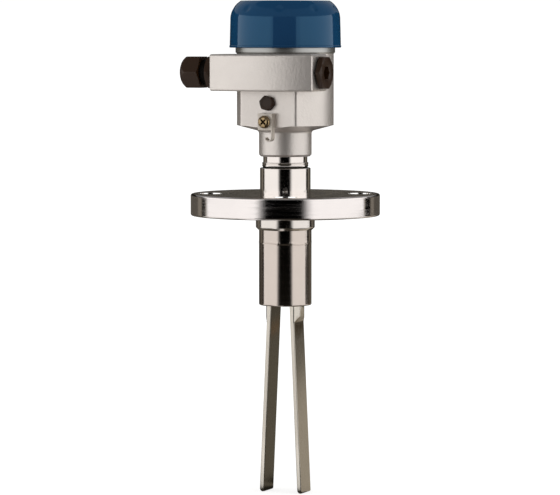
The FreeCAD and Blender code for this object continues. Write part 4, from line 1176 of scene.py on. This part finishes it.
@dataclass
class Entries:
    """Cable gland and blanking plug at the ends of the entry arm, measured outward from its end faces.

    Both share a hexagon with a corner to the front.
    """

    hexagon: HexForm = HexForm(25.0, math.pi / 2, 10.0)
    chamfer: float = 1.2
    chamfer_steps: int = 8
    seat_chamfer: float = 2.4
    seat_face: float = 11.8
    thread_radius: float = 9.95
    thread_depth: float = 10.0
    washer: float = 1.5
    hex_top: float = 6.7
    bore: float = 6.5
    seat_radius: float = 8.3
    sleeve_radius: float = 9.65
    sleeve_top: float = 16.0
    nut_start: float = 12.2
    nut_end: float = 29.9
    nut_bore: float = 10.1
    nut_lead: float = 0.8
    dome_start: float = 20.4
    dome_bow: float = 1.8
    dome_steps: int = 40
    end_radius: float = 8.6
    hole_radius: float = 6.4
    cone: tuple[Pair, Pair] = ((9.7, 22.3), (7.5, 27.9))
    plug_top: float = 5.7
    socket_floor: float = -1.3
    socket_lead: float = 0.5
    screw: Screw = Screw("gland_thread", 9.62, 8.5, 1.5, 0.32)
    screw_start: float = 7.2
    moulded_edge: float = 0.25

    def seat(self, node: str, side: Side) -> Matrix:
        """Find where an entry's axis starts and which way it points.

        Args:
            node: The washer on the arm's end face.
            side: The end of the arm.

        Returns:
            The entry's place in the frame.
        """
        low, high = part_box(node)
        face = high.x if side is Side.GLAND else low.x
        centre = Vector((face, (low.y + high.y) / 2, (low.z + high.z) / 2))
        return Matrix.Translation(centre) @ Matrix.Rotation(math.pi / 2 * side.value, 4, "Y")

    def cut_corners(self, face: float) -> list[Corner]:
        """Return the chamfer that runs from the hexagon's corners up to a face at some level."""
        corner = Corner(self.hexagon.corner, face - self.chamfer)
        return straight(corner, Corner(self.hexagon.face_radius, face), self.chamfer_steps)

    def gland_outline(self) -> list[Corner]:
        """Draw the gland's body.

        Returns:
            Its turned profile.
        """
        return [
            Corner(self.bore, -self.thread_depth, 0.3), Corner(self.bore, self.hex_top),
            Corner(self.seat_radius, self.hex_top), Corner(self.seat_radius, self.sleeve_top, 0.2),
            Corner(self.sleeve_radius, self.sleeve_top, 0.3), Corner(self.sleeve_radius, self.hex_top, 0.3),
            *reversed(self.cut_corners(self.hex_top)),
            *straight(Corner(self.hexagon.corner, self.washer + self.seat_chamfer),
                      Corner(self.seat_face, self.washer), self.chamfer_steps),
            Corner(self.thread_radius, self.washer),
            Corner(self.thread_radius, -self.thread_depth, 0.5),
        ]

    def nut_outline(self) -> list[Corner]:
        """Draw the domed nut.

        Returns:
            Its turned profile.
        """
        corner = self.hexagon.corner
        (wide, cone_start), (narrow, cone_end) = self.cone
        dome = bowed(Corner(corner, self.dome_start), Corner(self.end_radius, self.nut_end),
                     self.dome_bow, self.dome_steps)
        return [
            Corner(self.nut_bore, self.nut_start, 0.3),
            *straight(Corner(self.hexagon.face_radius, self.nut_start),
                      Corner(corner, self.nut_start + self.nut_lead), self.chamfer_steps),
            *dome[:-1],
            Corner(self.end_radius, self.nut_end, 0.6), Corner(self.hole_radius, self.nut_end, 0.5),
            Corner(self.hole_radius, cone_end, 0.2), Corner(narrow, cone_end), Corner(wide, cone_start),
            Corner(self.nut_bore, cone_start),
        ]

    def plug_outline(self) -> list[Corner]:
        """Draw the blanking plug.

        Returns:
            Its turned profile.
        """
        socket = self.hexagon.socket_corner
        return [
            Corner(0.0, -self.thread_depth), Corner(self.thread_radius, -self.thread_depth, 0.6),
            Corner(self.thread_radius, self.washer), Corner(self.hexagon.corner, self.washer, 0.3),
            *self.cut_corners(self.plug_top),
            Corner(socket + self.socket_lead, self.plug_top),
            Corner(socket, self.plug_top - self.socket_lead),
            Corner(socket, self.socket_floor), Corner(0.0, self.socket_floor),
        ]

    def build(self, nodes: Nodes) -> None:
        """Make the gland with its thread, and the plug.

        Args:
            nodes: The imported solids.
        """
        left = self.seat("gland_washer", Side.GLAND)
        right = self.seat("plug_washer", Side.PLUG)
        back = left.inverted()
        for name, body, outline, place, node in (
            ("gland_moulding", "probe", self.gland_outline(), left, "gland_body"),
            ("gland_nut_moulding", "gland_nut", self.nut_outline(), left, "gland_nut"),
            ("plug_moulding", "probe", self.plug_outline(), right, "entry_plug"),
        ):
            piece = lathe(name, outline, NYLON, self.hexagon.clip, place)
            if node == "gland_body":
                sleeve = (self.hex_top + SEAM) * MM
                # The sleeve beyond the hexagon gets near-black nylon: painted shadow of the nut.
                paint(piece.data, THREAD_NYLON, lambda face: (back @ face.center).z > sleeve)
            settle(piece, body, NYLON, node)
        # The gland's thread gets the same painted-shadow nylon.
        start = left @ Matrix.Translation((0.0, 0.0, self.screw_start * MM))
        self.screw.wind("probe", THREAD_NYLON, start)
        for node, body in (("gland_washer", "probe"), ("gland_seal", "gland_seal"), ("plug_washer", "probe")):
            settle(softened(nodes[node], node + "_ring", RUBBER, self.moulded_edge), body, RUBBER, node)


@dataclass
class FrontFittings:
    """Hexagon plug and earth terminal on the flat front."""

    plug: HexForm = HexForm(11.0, math.radians(45))
    plug_head: float = 4.2
    plug_chamfer: float = 0.6
    chamfer_steps: int = 6
    plug_shank: float = 3.9
    plug_depth: float = 5.1
    plug_dish: float = 0.2
    dish_radius: float = 4.0
    dish_slope: float = 0.3
    recess_reach: float = 3.6
    recess_depth: float = 1.6
    recess_wall: float = 0.5
    recess_floor: float = 0.7
    edges: tuple[tuple[str, Finish, float], ...] = (
        ("earth_clamp", PLATED_STEEL, 0.2), ("earth_washer", PLATED_STEEL, 0.15),
        ("earth_screw", BRASS, 0.18))

    def plug_outline(self) -> list[Corner]:
        """Draw the small plug, from its shank's end to its face.

        Returns:
            Its turned profile.
        """
        corner, face, dish = self.plug.corner, self.plug_head, self.plug_head - self.plug_dish
        return [
            Corner(0.0, -self.plug_depth), Corner(self.plug_shank, -self.plug_depth, 0.3),
            Corner(self.plug_shank, 0.0), Corner(corner, 0.0),
            *straight(Corner(corner, face - self.plug_chamfer), Corner(self.plug.face_radius, face),
                      self.chamfer_steps),
            Corner(self.dish_radius, face, 0.3), Corner(self.dish_radius - self.dish_slope, dish, 0.2),
            Corner(0.0, dish),
        ]

    def build(self, nodes: Nodes) -> None:
        """Make the plug, clamp, washer and screw.

        Args:
            nodes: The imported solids.
        """
        low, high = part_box("side_plug")
        seat = Vector(((low.x + high.x) / 2, low.y + self.plug_head * MM, (low.z + high.z) / 2))
        place = Matrix.Translation(seat) @ Matrix.Rotation(math.pi / 2, 4, "X")
        plug = lathe("side_plug_moulding", self.plug_outline(), NYLON, self.plug.clip, place)
        settle(plug, "probe", NYLON, "side_plug")
        for node, finish, bevel in self.edges:
            fitting = softened(nodes[node], node + "_fitting", finish, bevel)
            if node == "earth_screw":
                # The screw's cross recess gets dark brass: painted shade in the slots.
                paint(fitting.data, TARNISHED_BRASS, self.recess())
            settle(fitting, "probe", finish, node)

    def recess(self) -> Callable[[Face], bool]:
        """Find the cross recess of the earth screw, which gets the painted shade.

        Returns:
            The test for faces that are in it.
        """
        low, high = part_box("earth_screw")
        axis = Vector(((low.x + high.x) / 2, (low.z + high.z) / 2))
        reach, depth = self.recess_reach * MM, self.recess_depth * MM

        def sunk(face: Face) -> bool:
            """Tell whether a face is a wall or the floor of the recess.

            Args:
                face: A face of the screw.

            Returns:
                Whether it is.
            """
            away = (Vector((face.center.x, face.center.z)) - axis).length
            fall = face.center.y - low.y
            wall = abs(face.normal.y) < self.recess_wall
            return away < reach and fall < depth and (wall or fall > depth * self.recess_floor)

        return sunk


@dataclass
class Stem:
    """Turned stem between flange and housing."""

    radius: float = 20.4
    bore: float = 10.0
    insert_radius: float = 18.55
    insert_length: float = 12.0
    height: float = 38.4
    chamfer: float = 0.5
    groove_radius: float = 18.1
    groove_width: float = 1.2
    scale_margins: Pair = (0.2, 0.1)
    bead_radius: float = 18.7
    bead_height: float = 4.2
    bead_waist: float = 0.25
    spigot_radius: float = 17.8
    spigot_top: float = 65.45
    stud_radius: float = 13.0
    seal_depth: float = 1.9
    seal_width: float = 2.4
    seal_levels: Pair = (52.5, 58.5)

    def build(self) -> None:
        """Make the stem in one turned piece."""
        low, high = levels("upper_tube")
        shoulder = low + self.insert_length
        groove_low, groove_top = self.height - SEAM, self.height + self.groove_width
        bead_top = self.height + self.bead_height
        bottom = self.spigot_radius - self.seal_depth
        corners = [
            Corner(self.bore, low, 0.5),
            Corner(self.insert_radius, low, 0.5),
            Corner(self.insert_radius, shoulder),
            Corner(self.radius, shoulder),
            Corner(self.radius, self.height - self.chamfer, 0.3),
            Corner(self.radius - self.chamfer, groove_low, 0.2),
            Corner(self.groove_radius, groove_low),
            Corner(self.groove_radius, groove_top),
            Corner(self.bead_radius, groove_top, 0.25),
            Corner(self.bead_radius - self.bead_waist, self.height + self.bead_height / 2, 1.5),
            Corner(self.bead_radius, bead_top, 0.35),
            Corner(self.spigot_radius, bead_top, 0.2),
        ]
        for level in self.seal_levels:
            corners += [
                Corner(self.spigot_radius, level, 0.2),
                Corner(bottom, level, 0.2),
                Corner(bottom, level + self.seal_width, 0.2),
                Corner(self.spigot_radius, level + self.seal_width, 0.2),
            ]
        corners += [
            Corner(self.spigot_radius, self.spigot_top, 0.6),
            Corner(self.stud_radius, self.spigot_top, 0.3),
            Corner(self.stud_radius, high, 0.8),
            Corner(self.bore, high, 0.5),
        ]
        stem = lathe("stem_turning", corners, POLISHED_STEEL)
        # The groove's faces get dark steel: painted shade under the bead.
        paint(stem.data, SCALED_STEEL, self.in_groove)
        settle(stem, "probe", POLISHED_STEEL, "upper_tube")

    def in_groove(self, face: Face) -> bool:
        """Tell whether a face is in the groove under the bead, which gets the painted shade."""
        below, above = self.scale_margins
        return -below < face.center.z * PER_METRE - self.height < self.groove_width + above


@dataclass
class Flange:
    """Turned flange with a raised sealing face and a ring of chamfered bolt holes."""

    radius: float = 76.2
    edge: float = 1.5
    bore: float = 20.45
    recess_radius: float = 23.85
    recess_depth: float = 0.8
    face_radius: float = 46.05
    hole_circle: float = 60.325
    hole_radius: float = 9.525
    hole_chamfer: float = 0.3
    hole_lead: float = 0.8
    hole_flare: float = 0.115
    hole_count: int = 4
    hole_turn: float = math.radians(24)
    run_out: float = 1.0

    def cutter(self, top: float) -> Piece:
        """Make the shape that one hole takes away.

        Args:
            top: Level of the flange's upper face.

        Returns:
            The cutter, to be removed after use.
        """
        wide = self.hole_radius + self.hole_chamfer + self.run_out
        mouth = self.hole_radius + 2 * self.hole_flare
        above = top + self.hole_lead
        return lathe("hole_cutter", [
            Corner(0.0, -self.run_out), Corner(wide, -self.run_out),
            Corner(self.hole_radius, self.hole_chamfer), Corner(self.hole_radius, top - self.hole_lead),
            Corner(mouth, above), Corner(0.0, above),
        ], FLANGE_STEEL)

    def in_hole(self, face: Face) -> bool:
        """Tell whether a face is in a bolt hole.

        Args:
            face: A face of the plate.

        Returns:
            Whether it is.
        """
        angle = math.atan2(face.center.y, face.center.x)
        nearest = nearest_turn(angle, self.hole_turn, self.hole_count)
        centre = Vector((math.cos(nearest), math.sin(nearest), 0.0)) * self.hole_circle * MM
        away = Vector((face.center.x, face.center.y, 0.0)) - centre
        return away.length < (self.hole_radius + self.hole_chamfer) * MM

    def build(self) -> None:
        """Make the plate and cut its holes."""
        low, top = levels("flange")
        blank = lathe("flange_blank", [
            Corner(self.bore, low + self.recess_depth),
            Corner(self.recess_radius, low + self.recess_depth),
            Corner(self.recess_radius, low, 0.2),
            Corner(self.face_radius, low, 0.4),
            Corner(self.face_radius, 0.0, 0.4),
            Corner(self.radius, 0.0, self.edge),
            Corner(self.radius, top, self.edge),
            Corner(self.bore, top, 0.3),
        ], FLANGE_STEEL)
        cutter = self.cutter(top)
        mesh = run_tree(hole_tree(), blank.data.copy(), "flange_plate", {
            "Circle": self.hole_circle * MM, "Count": self.hole_count, "Turn": self.hole_turn,
            "Cutter": cutter, "Material": FLANGE_STEEL.material()})
        for spent in (blank, cutter):
            bpy.data.objects.remove(spent)
        plate = new_object("flange_plate", mesh, FLANGE_STEEL)
        # The holes' walls get whiter steel: painted highlight.
        paint(mesh, BORED_STEEL, self.in_hole)
        settle(plate, "probe", FLANGE_STEEL, "flange")


@dataclass
class ForkHead:
    """Collar, tube, diaphragm and the two tines.

    The weld's line is a sum of waves, each with its share, its count round the tube and its phase.
    """

    collar_radius: float = 23.8
    collar_taper: float = 1.9
    collar_lip: float = 0.5
    tube_radius: float = 21.2
    tube_wall: float = 2.6
    fit: float = 0.05
    weld_level: float = -21.5
    weld_width: float = 1.1
    weld_height: float = 0.1
    weld_band: float = 4.0
    weld_rows: int = 24
    weld_wander: float = 0.45
    weld_waves: tuple[tuple[float, int, float], ...] = ((1.0, 3, 0.7), (0.6, 7, 2.1))
    weld_ripples: int = 60
    weld_beat: tuple[float, int, float] = (0.5, 5, 1.3)
    diaphragm_edge: float = 1.2
    lip_wall: float = 2.5
    tine_edge: float = 0.45
    tip_chamfer: float = 2.2
    inner_face: float = 0.9

    def weld_bead(self, point: Vector) -> Vector:
        """Raise the ground-down weld that runs round the tube.

        Args:
            point: A point of the tube, in millimetres.

        Returns:
            The raised point.
        """
        angle = math.atan2(point.y, point.x)
        radius = math.hypot(point.x, point.y)
        if radius < self.tube_radius - self.tube_wall / 2:
            return point
        waves = sum(share * math.sin(count * angle + phase) for share, count, phase in self.weld_waves)
        depth, count, phase = self.weld_beat
        ripple = 1 + depth * math.sin(self.weld_ripples * angle) * math.sin(count * angle + phase)
        share = (point.z - self.weld_level - self.weld_wander * waves) / self.weld_width
        raised = self.weld_height * ripple * math.exp(-share * share)
        return Vector((point.x * (1 + raised / radius), point.y * (1 + raised / radius), point.z))

    def build(self, nodes: Nodes) -> None:
        """Make the head's turned pieces and soften the tines.

        Args:
            nodes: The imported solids.
        """
        low, high = levels("weld_collar")
        bore = self.tube_radius + self.fit
        collar = lathe("collar_turning", [
            Corner(bore, low), Corner(bore + self.collar_lip, low, 0.2),
            Corner(self.collar_radius, low + self.collar_taper, 1.4),
            Corner(self.collar_radius, high), Corner(bore, high),
        ], COLLAR_STEEL)
        settle(collar, "probe", COLLAR_STEEL, "weld_collar")

        top, high = levels("fork_tube")
        inner = self.tube_radius - self.tube_wall
        band = self.weld_width * self.weld_band
        shares = [step / self.weld_rows - 0.5 for step in range(self.weld_rows + 1)]
        tube = lathe("tube_turning", [
            Corner(inner, top), Corner(self.tube_radius, top),
            *(Corner(self.tube_radius, self.weld_level + band * share) for share in shares),
            Corner(self.tube_radius, high), Corner(inner, high),
        ], GROUND_STEEL, self.weld_bead)
        settle(tube, "probe", GROUND_STEEL, "fork_tube")

        low, high = levels("diaphragm")
        lip = inner - self.fit
        disc = lathe("diaphragm_turning", [
            Corner(0.0, low), Corner(self.tube_radius / 2, low),
            Corner(self.tube_radius, low, self.diaphragm_edge), Corner(self.tube_radius, top),
            Corner(lip, top), Corner(lip, high, 0.3), Corner(lip - self.lip_wall, high, 0.3),
            Corner(lip - self.lip_wall, top), Corner(0.0, top),
        ], GROUND_STEEL)
        settle(disc, "probe", GROUND_STEEL, "diaphragm")

        for node in ("tine_left", "tine_right"):
            blade = softened(nodes[node], node + "_blade", TINE_STEEL, self.tine_edge)
            self.cut_tip(blade.data)
            # Faces that look at the other tine get darker steel: painted shade.
            paint(blade.data, PICKLED_STEEL, self.looks_inward)
            settle(blade, node, TINE_STEEL, node)

    def looks_inward(self, face: Face) -> bool:
        """Tell whether a face of a blade looks at the other tine."""
        inward = -math.copysign(face.normal.x, face.normal.x * face.center.x)
        return inward > self.inner_face

    def cut_tip(self, mesh: Mesh) -> None:
        """Take the lower corner off a blade's front side.

        Args:
            mesh: The blade's mesh.
        """
        low = min(vertex.co.z for vertex in mesh.vertices)
        front = min(vertex.co.y for vertex in mesh.vertices)
        work = bmesh.new()
        work.from_mesh(mesh)
        cut = bmesh.ops.bisect_plane(
            work, geom=[*work.verts, *work.edges, *work.faces], dist=MERGE_DISTANCE,
            plane_co=(0.0, front, low + self.tip_chamfer * MM), plane_no=(0.0, -1.0, -1.0), clear_outer=True)
        rim = [item for item in cut["geom_cut"] if isinstance(item, bmesh.types.BMEdge)]
        bmesh.ops.contextual_create(work, geom=rim)
        work.to_mesh(mesh)
        work.free()
        shade(mesh)


@dataclass
class InnerPieces:
    """Pieces inside the housing and the tube, which keep their solids and get their finish."""

    finishes: dict[str, Finish] = field(default_factory=lambda: {
        "lid_seal": RUBBER, "neck_seals": RUBBER, "neck_nut": PLATED_STEEL, "module_cup": INSERT_PLASTIC,
        "circuit_board": LAMINATE, "module_cover": INSERT_PLASTIC, "module_screws": PLATED_STEEL,
        "terminal_block": TERMINAL_PLASTIC, "terminal_screws": PLATED_STEEL, "mode_switch": INSERT_PLASTIC,
        "mode_slider": SLIDER_PLASTIC, "status_light": LENS_PLASTIC, "drive_bolt": PLATED_STEEL,
        "pressure_ring": PLATED_STEEL, "piezo_discs": PIEZO_CERAMIC, "insulating_discs": INSULATOR_CERAMIC,
        "contact_plates": BRASS, "clamp_nut": PLATED_STEEL, "lead_wires": WIRE_JACKET,
    })

    def dress(self, nodes: Nodes) -> None:
        """Give each solid its finish.

        Args:
            nodes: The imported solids.
        """
        for node, finish in self.finishes.items():
            for slot in nodes[node].material_slots:
                slot.material = finish.material()
            LOG.info("%s keeps its solid", node)


@dataclass
class Studio:
    """Pale floor and backdrop, two soft boxes, the screens that the metal mirrors, and the camera.

    Lengths are metres here, apart from the camera's sensor and the photograph's pixels. A screen starts and
    ends at turns in degrees from the camera's direction. Those that stand have the brightness of their lower,
    middle and upper tier, and those on the floor have their nearer and farther edge and a brightness.
    """

    azimuth: float = math.radians(24)
    distance: float = 2.566
    height: float = 0.1488
    focal: float = 3191.0
    horizon: float = 30.0
    axis_column: float = 285.3
    sensor: float = 36.0
    floor_half: float = 30.0
    floor_near: Pair = (0.1, 0.6)
    floor_far: Pair = (0.7, 0.84)
    floor_glow: float = 1.25
    floor_colour: str = "#F2F0EE"
    screen_radius: float = 1.5
    screen_height: float = 2.4
    screen_lift: float = 0.0002
    box_distance: float = 1.45
    box_middle: float = math.radians(73)
    box_half: float = math.radians(43)
    box_height: float = 1.5
    box_power: float = 10.5
    fill: float = 0.68
    backdrop: float = 1.05
    screen_splits: Pair = (-0.125, 0.115)
    screens: tuple[tuple[float, float, tuple[float, float, float]], ...] = (
        (-180.0, -160.0, (0.06, 0.125, 0.01)), (-160.0, -130.0, (0.06, 0.1, 0.01)),
        (-130.0, -120.0, (0.1, 0.22, 0.01)), (-120.0, -116.0, (0.02, 0.01, 0.01)),
        (-116.0, -111.0, (0.02, 0.01, 1.4)), (-111.0, -109.0, (0.02, 0.3, 1.4)),
        (-109.0, -107.0, (0.02, 0.7, 1.4)), (-107.0, -38.5, (1.1, 1.1, 1.4)),
        (-38.5, -35.5, (0.85, 1.1, 1.4)), (-35.5, -33.0, (0.6, 0.95, 1.4)),
        (-33.0, -31.0, (0.36, 0.75, 1.4)), (-31.0, -29.0, (0.2, 0.5, 1.1)),
        (-29.0, -26.5, (0.09, 0.28, 1.1)), (-26.5, -25.5, (0.03, 0.1, 1.1)),
        (-25.5, -23.5, (0.03, 0.1, 0.0)), (-23.5, 19.5, (0.0, 0.0, 0.0)),
        (19.5, 22.0, (0.0, 0.1, 0.0)), (22.0, 24.5, (0.05, 0.3, 1.1)),
        (24.5, 27.0, (0.18, 0.55, 1.1)), (27.0, 30.0, (0.44, 0.8, 1.1)),
        (30.0, 32.5, (0.75, 1.0, 1.4)), (32.5, 35.0, (1.0, 1.1, 1.4)),
        (35.0, 98.0, (1.1, 1.1, 1.4)), (98.0, 107.0, (0.04, 1.1, 1.4)),
        (107.0, 109.0, (0.04, 0.7, 1.4)), (109.0, 111.0, (0.04, 0.3, 1.4)),
        (111.0, 116.0, (0.04, 0.0, 1.4)), (116.0, 124.0, (0.08, 0.0, 0.01)),
        (124.0, 134.0, (0.07, 0.2, 0.01)), (134.0, 160.0, (0.14, 0.085, 0.01)),
        (160.0, 180.0, (0.035, 0.13, 0.01)))
    panel_top: float = 0.5
    cloth: str = "#FFF4E1"
    cloth_turn: float = 98.0
    cloth_limit: float = 0.5
    round_level: float = 0.3
    over_level: float = 0.06
    # Floor screens: start, end, nearer and farther edge, brightness. The first two, within 32 mm of the axis,
    # lie under the tips as painted shadow that only reflections see.
    floor_screens: tuple[tuple[float, float, float, float, float], ...] = (
        (-180.0, 75.0, 0.0, 0.032, 0.04), (75.0, 180.0, 0.0, 0.032, 0.39),
        (-62.0, -14.0, 0.032, 0.15, 0.9), (-62.0, -36.0, 0.15, 0.3, 1.25),
        (-36.0, -14.0, 0.15, 1.5, 0.04), (-14.0, 30.0, 0.032, 1.5, 0.04),
        (-116.0, -62.0, 0.032, 0.3, 0.04), (30.0, 75.0, 0.032, 0.3, 0.04),
        (75.0, 116.0, 0.032, 0.1, 0.39), (75.0, 116.0, 0.1, 0.3, 0.04),
        (116.0, 148.0, 0.032, 1.2, 0.42), (116.0, 148.0, 1.2, 1.35, 0.2),
        (116.0, 148.0, 1.35, 1.5, 0.03), (148.0, 180.0, 0.032, 1.5, 0.03),
        (-180.0, -116.0, 0.032, 1.5, 0.12))

    def toward(self, turn: float) -> Vector:
        """Return the level direction at a turn from the camera's, as seen from the object."""
        angle = self.azimuth + turn
        return Vector((math.sin(angle), -math.cos(angle), 0.0))

    def background(self) -> None:
        """Make a world that is white to the camera and in reflections, and a soft fill otherwise."""
        world = bpy.data.worlds.new("pale_backdrop")
        bpy.context.scene.world = world
        tree = emptied(world)
        path = add_node(tree, "ShaderNodeLightPath").outputs
        mirrored = add_node(tree, "ShaderNodeMath", {
            0: path["Is Glossy Ray"], 1: path["Is Transmission Ray"]}, operation="MAXIMUM")
        seen = add_node(tree, "ShaderNodeMath", {
            0: path["Is Camera Ray"], 1: mirrored.outputs[0]}, operation="MAXIMUM")
        strength = add_node(tree, "ShaderNodeMapRange", {
            "Value": seen.outputs[0], "To Min": self.fill, "To Max": self.backdrop})
        sky = add_node(tree, "ShaderNodeBackground", {
            "Color": linear(WHITE), "Strength": strength.outputs[0]})
        add_node(tree, "ShaderNodeOutputWorld", {"Surface": sky.outputs[0]})

    def set_stage(self, name: str, points: Points, faces: Faces, material: Material, seen: bool) -> None:
        """Put a plain piece of the studio in the scene.

        Args:
            name: Name of the piece.
            points: Its corners.
            faces: Its faces.
            material: Its material.
            seen: Whether more than reflections see it.
        """
        mesh = bpy.data.meshes.new(name)
        mesh.from_pydata(points, [], faces)
        mesh.materials.append(material)
        piece = link_object(name, mesh)
        piece.visible_camera = seen
        piece.visible_diffuse = seen
        piece.visible_shadow = seen

    def square(self, half: float, level: float) -> list[Vector]:
        """Return the corners of a level square about the axis, by half its width and its level."""
        return [Vector((x * half, y * half, level)) for x, y in ((-1, -1), (1, -1), (1, 1), (-1, 1))]

    def floor(self, level: float) -> None:
        """Lay the floor under the tips.

        Args:
            level: Level of the tips.
        """
        material = bpy.data.materials.new("pale_floor")
        tree = emptied(material)
        camera = add_node(tree, "ShaderNodeLightPath").outputs["Is Camera Ray"]
        where = add_node(tree, "ShaderNodeTexCoord").outputs["Object"]
        apart = add_node(tree, "ShaderNodeVectorMath", {0: where}, operation="LENGTH")
        whiter = add_node(tree, "ShaderNodeMapRange", {
            "Value": apart.outputs["Value"], "From Min": self.floor_near[0], "From Max": self.floor_far[0],
            "To Min": self.floor_near[1], "To Max": self.floor_far[1]}, interpolation_type="SMOOTHSTEP")
        share = add_node(tree, "ShaderNodeMath", {0: camera, 1: whiter.outputs[0]}, operation="MULTIPLY")
        matt = add_node(tree, "ShaderNodeBsdfDiffuse", {"Color": linear(self.floor_colour)})
        glow = add_node(tree, "ShaderNodeEmission", {"Strength": self.floor_glow})
        mixed = add_node(tree, "ShaderNodeMixShader", {
            0: share.outputs[0], 1: matt.outputs[0], 2: glow.outputs[0]})
        add_node(tree, "ShaderNodeOutputMaterial", {"Surface": mixed.outputs[0]})
        self.set_stage("floor", self.square(self.floor_half, level), [(0, 1, 2, 3)], material, True)

    def screen(self, name: str, points: Points, faces: Faces, glow: float, colour: str) -> None:
        """Set a screen that only reflections see.

        Args:
            name: Name of the screen.
            points: Its corners.
            faces: Its faces.
            glow: How bright it looks in a mirror.
            colour: Its colour.
        """
        material = bpy.data.materials.new(name)
        tree = emptied(material)
        light = add_node(tree, "ShaderNodeEmission", {"Color": linear(colour), "Strength": glow})
        add_node(tree, "ShaderNodeOutputMaterial", {"Surface": light.outputs[0]})
        self.set_stage(name, points, faces, material, False)

    def sector(self, name: str, turns: Pair, edges: tuple[Pair, Pair], glow: float, colour: str) -> None:
        """Set a screen that runs round the object.

        Args:
            name: Name of the screen.
            turns: Where it starts and ends, in degrees from the camera's direction.
            edges: Reach from the axis and level of its two edges.
            glow: How bright it looks in a mirror.
            colour: Its colour.
        """
        start, end = turns
        steps = max(2, round((end - start) / SCREEN_STEP))
        points = []
        for step in range(steps + 1):
            way = self.toward(math.radians(start + (end - start) * step / steps))
            points += [Vector((way.x * reach, way.y * reach, level)) for reach, level in edges]
        faces = [(2 * step, 2 * step + 2, 2 * step + 3, 2 * step + 1) for step in range(steps)]
        self.screen(name, points, faces, glow, colour)

    def set_screens(self, floor: float) -> None:
        """Set the screens round the object, the one over it and those on the floor.

        Args:
            floor: Level of the floor.
        """
        reach, top = self.screen_radius, floor + self.screen_height
        tiers = (floor, *self.screen_splits, self.panel_top)
        for number, (start, end, glows) in enumerate(self.screens):
            behind = min(abs(start), abs(end)) >= self.cloth_turn
            for tier, (low, high, glow) in enumerate(zip(tiers, tiers[1:], glows)):
                colour = self.cloth if behind and glow < self.cloth_limit else WHITE
                edges = ((reach, low), (reach, high))
                self.sector(f"screen_{number}_{tier}", (start, end), edges, glow, colour)
        above = ((reach, self.panel_top), (reach, top))
        self.sector("screen_round", (-180.0, 180.0), above, self.round_level, WHITE)
        self.screen("screen_over", self.square(reach, top), [(0, 1, 2, 3)], self.over_level, self.cloth)
        # The nearest floor screens are painted shadow under the tips.
        level = floor + self.screen_lift
        for number, (start, end, near, far, glow) in enumerate(self.floor_screens):
            colour = WHITE if glow > self.cloth_limit else self.cloth
            self.sector(f"screen_floor_{number}", (start, end), ((near, level), (far, level)), glow, colour)

    def soft_boxes(self, floor: float) -> None:
        """Set the two soft boxes, which mirrors see as the panels.

        Args:
            floor: Level of the floor.
        """
        for name, sign in (("left", -1), ("right", 1)):
            lamp = bpy.data.lights.new(f"soft_box_{name}", "AREA")
            lamp.shape = "RECTANGLE"
            lamp.size = 2 * self.box_distance * math.tan(self.box_half)
            lamp.size_y = self.box_height
            lamp.energy = self.box_power
            box = link_object(f"soft_box_{name}", lamp)
            away = self.toward(sign * self.box_middle)
            box.location = away * self.box_distance + Vector((0.0, 0.0, floor + self.box_height / 2))
            box.rotation_euler = away.to_track_quat("Z", "Y").to_euler()
            box.visible_camera = False
            box.visible_glossy = False

    def camera(self) -> None:
        """Set the camera at the photograph's place and angle."""
        data = bpy.data.cameras.new("photo_camera")
        data.sensor_width = self.sensor
        data.lens = self.focal * self.sensor / PHOTO_SIZE[0]
        camera = link_object("photo_camera", data)
        forward = -self.toward(0.0)
        right = forward.cross(Vector((0.0, 0.0, 1.0)))
        camera.location = -forward * self.distance + Vector((0.0, 0.0, self.height))
        drop = (PHOTO_SIZE[1] / 2 - self.horizon) / self.focal
        aside = (PHOTO_SIZE[0] / 2 - self.axis_column) / self.focal
        aim = forward + right * aside - Vector((0.0, 0.0, drop))
        camera.rotation_euler = aim.to_track_quat("-Z", "Y").to_euler()
        bpy.context.scene.camera = camera

    def build(self, level: float) -> None:
        """Make the stage, the lamps and the camera.

        Args:
            level: Level of the floor.
        """
        bpy.context.scene.view_settings.view_transform = "Standard"
        self.background()
        self.floor(level)
        self.set_screens(level)
        self.soft_boxes(level)
        self.camera()


def main() -> None:
    """Build the pieces in order."""
    logging.basicConfig(level=logging.INFO, format="%(message)s")
    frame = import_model()
    nodes = frame["nodes"]
    Lid().build()
    Housing().build(nodes)
    Entries().build(nodes)
    FrontFittings().build(nodes)
    Stem().build()
    Flange().build()
    ForkHead().build(nodes)
    InnerPieces().dress(nodes)
    Studio().build(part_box("tine_left")[0].z)


if __name__ == "__main__":
    main()
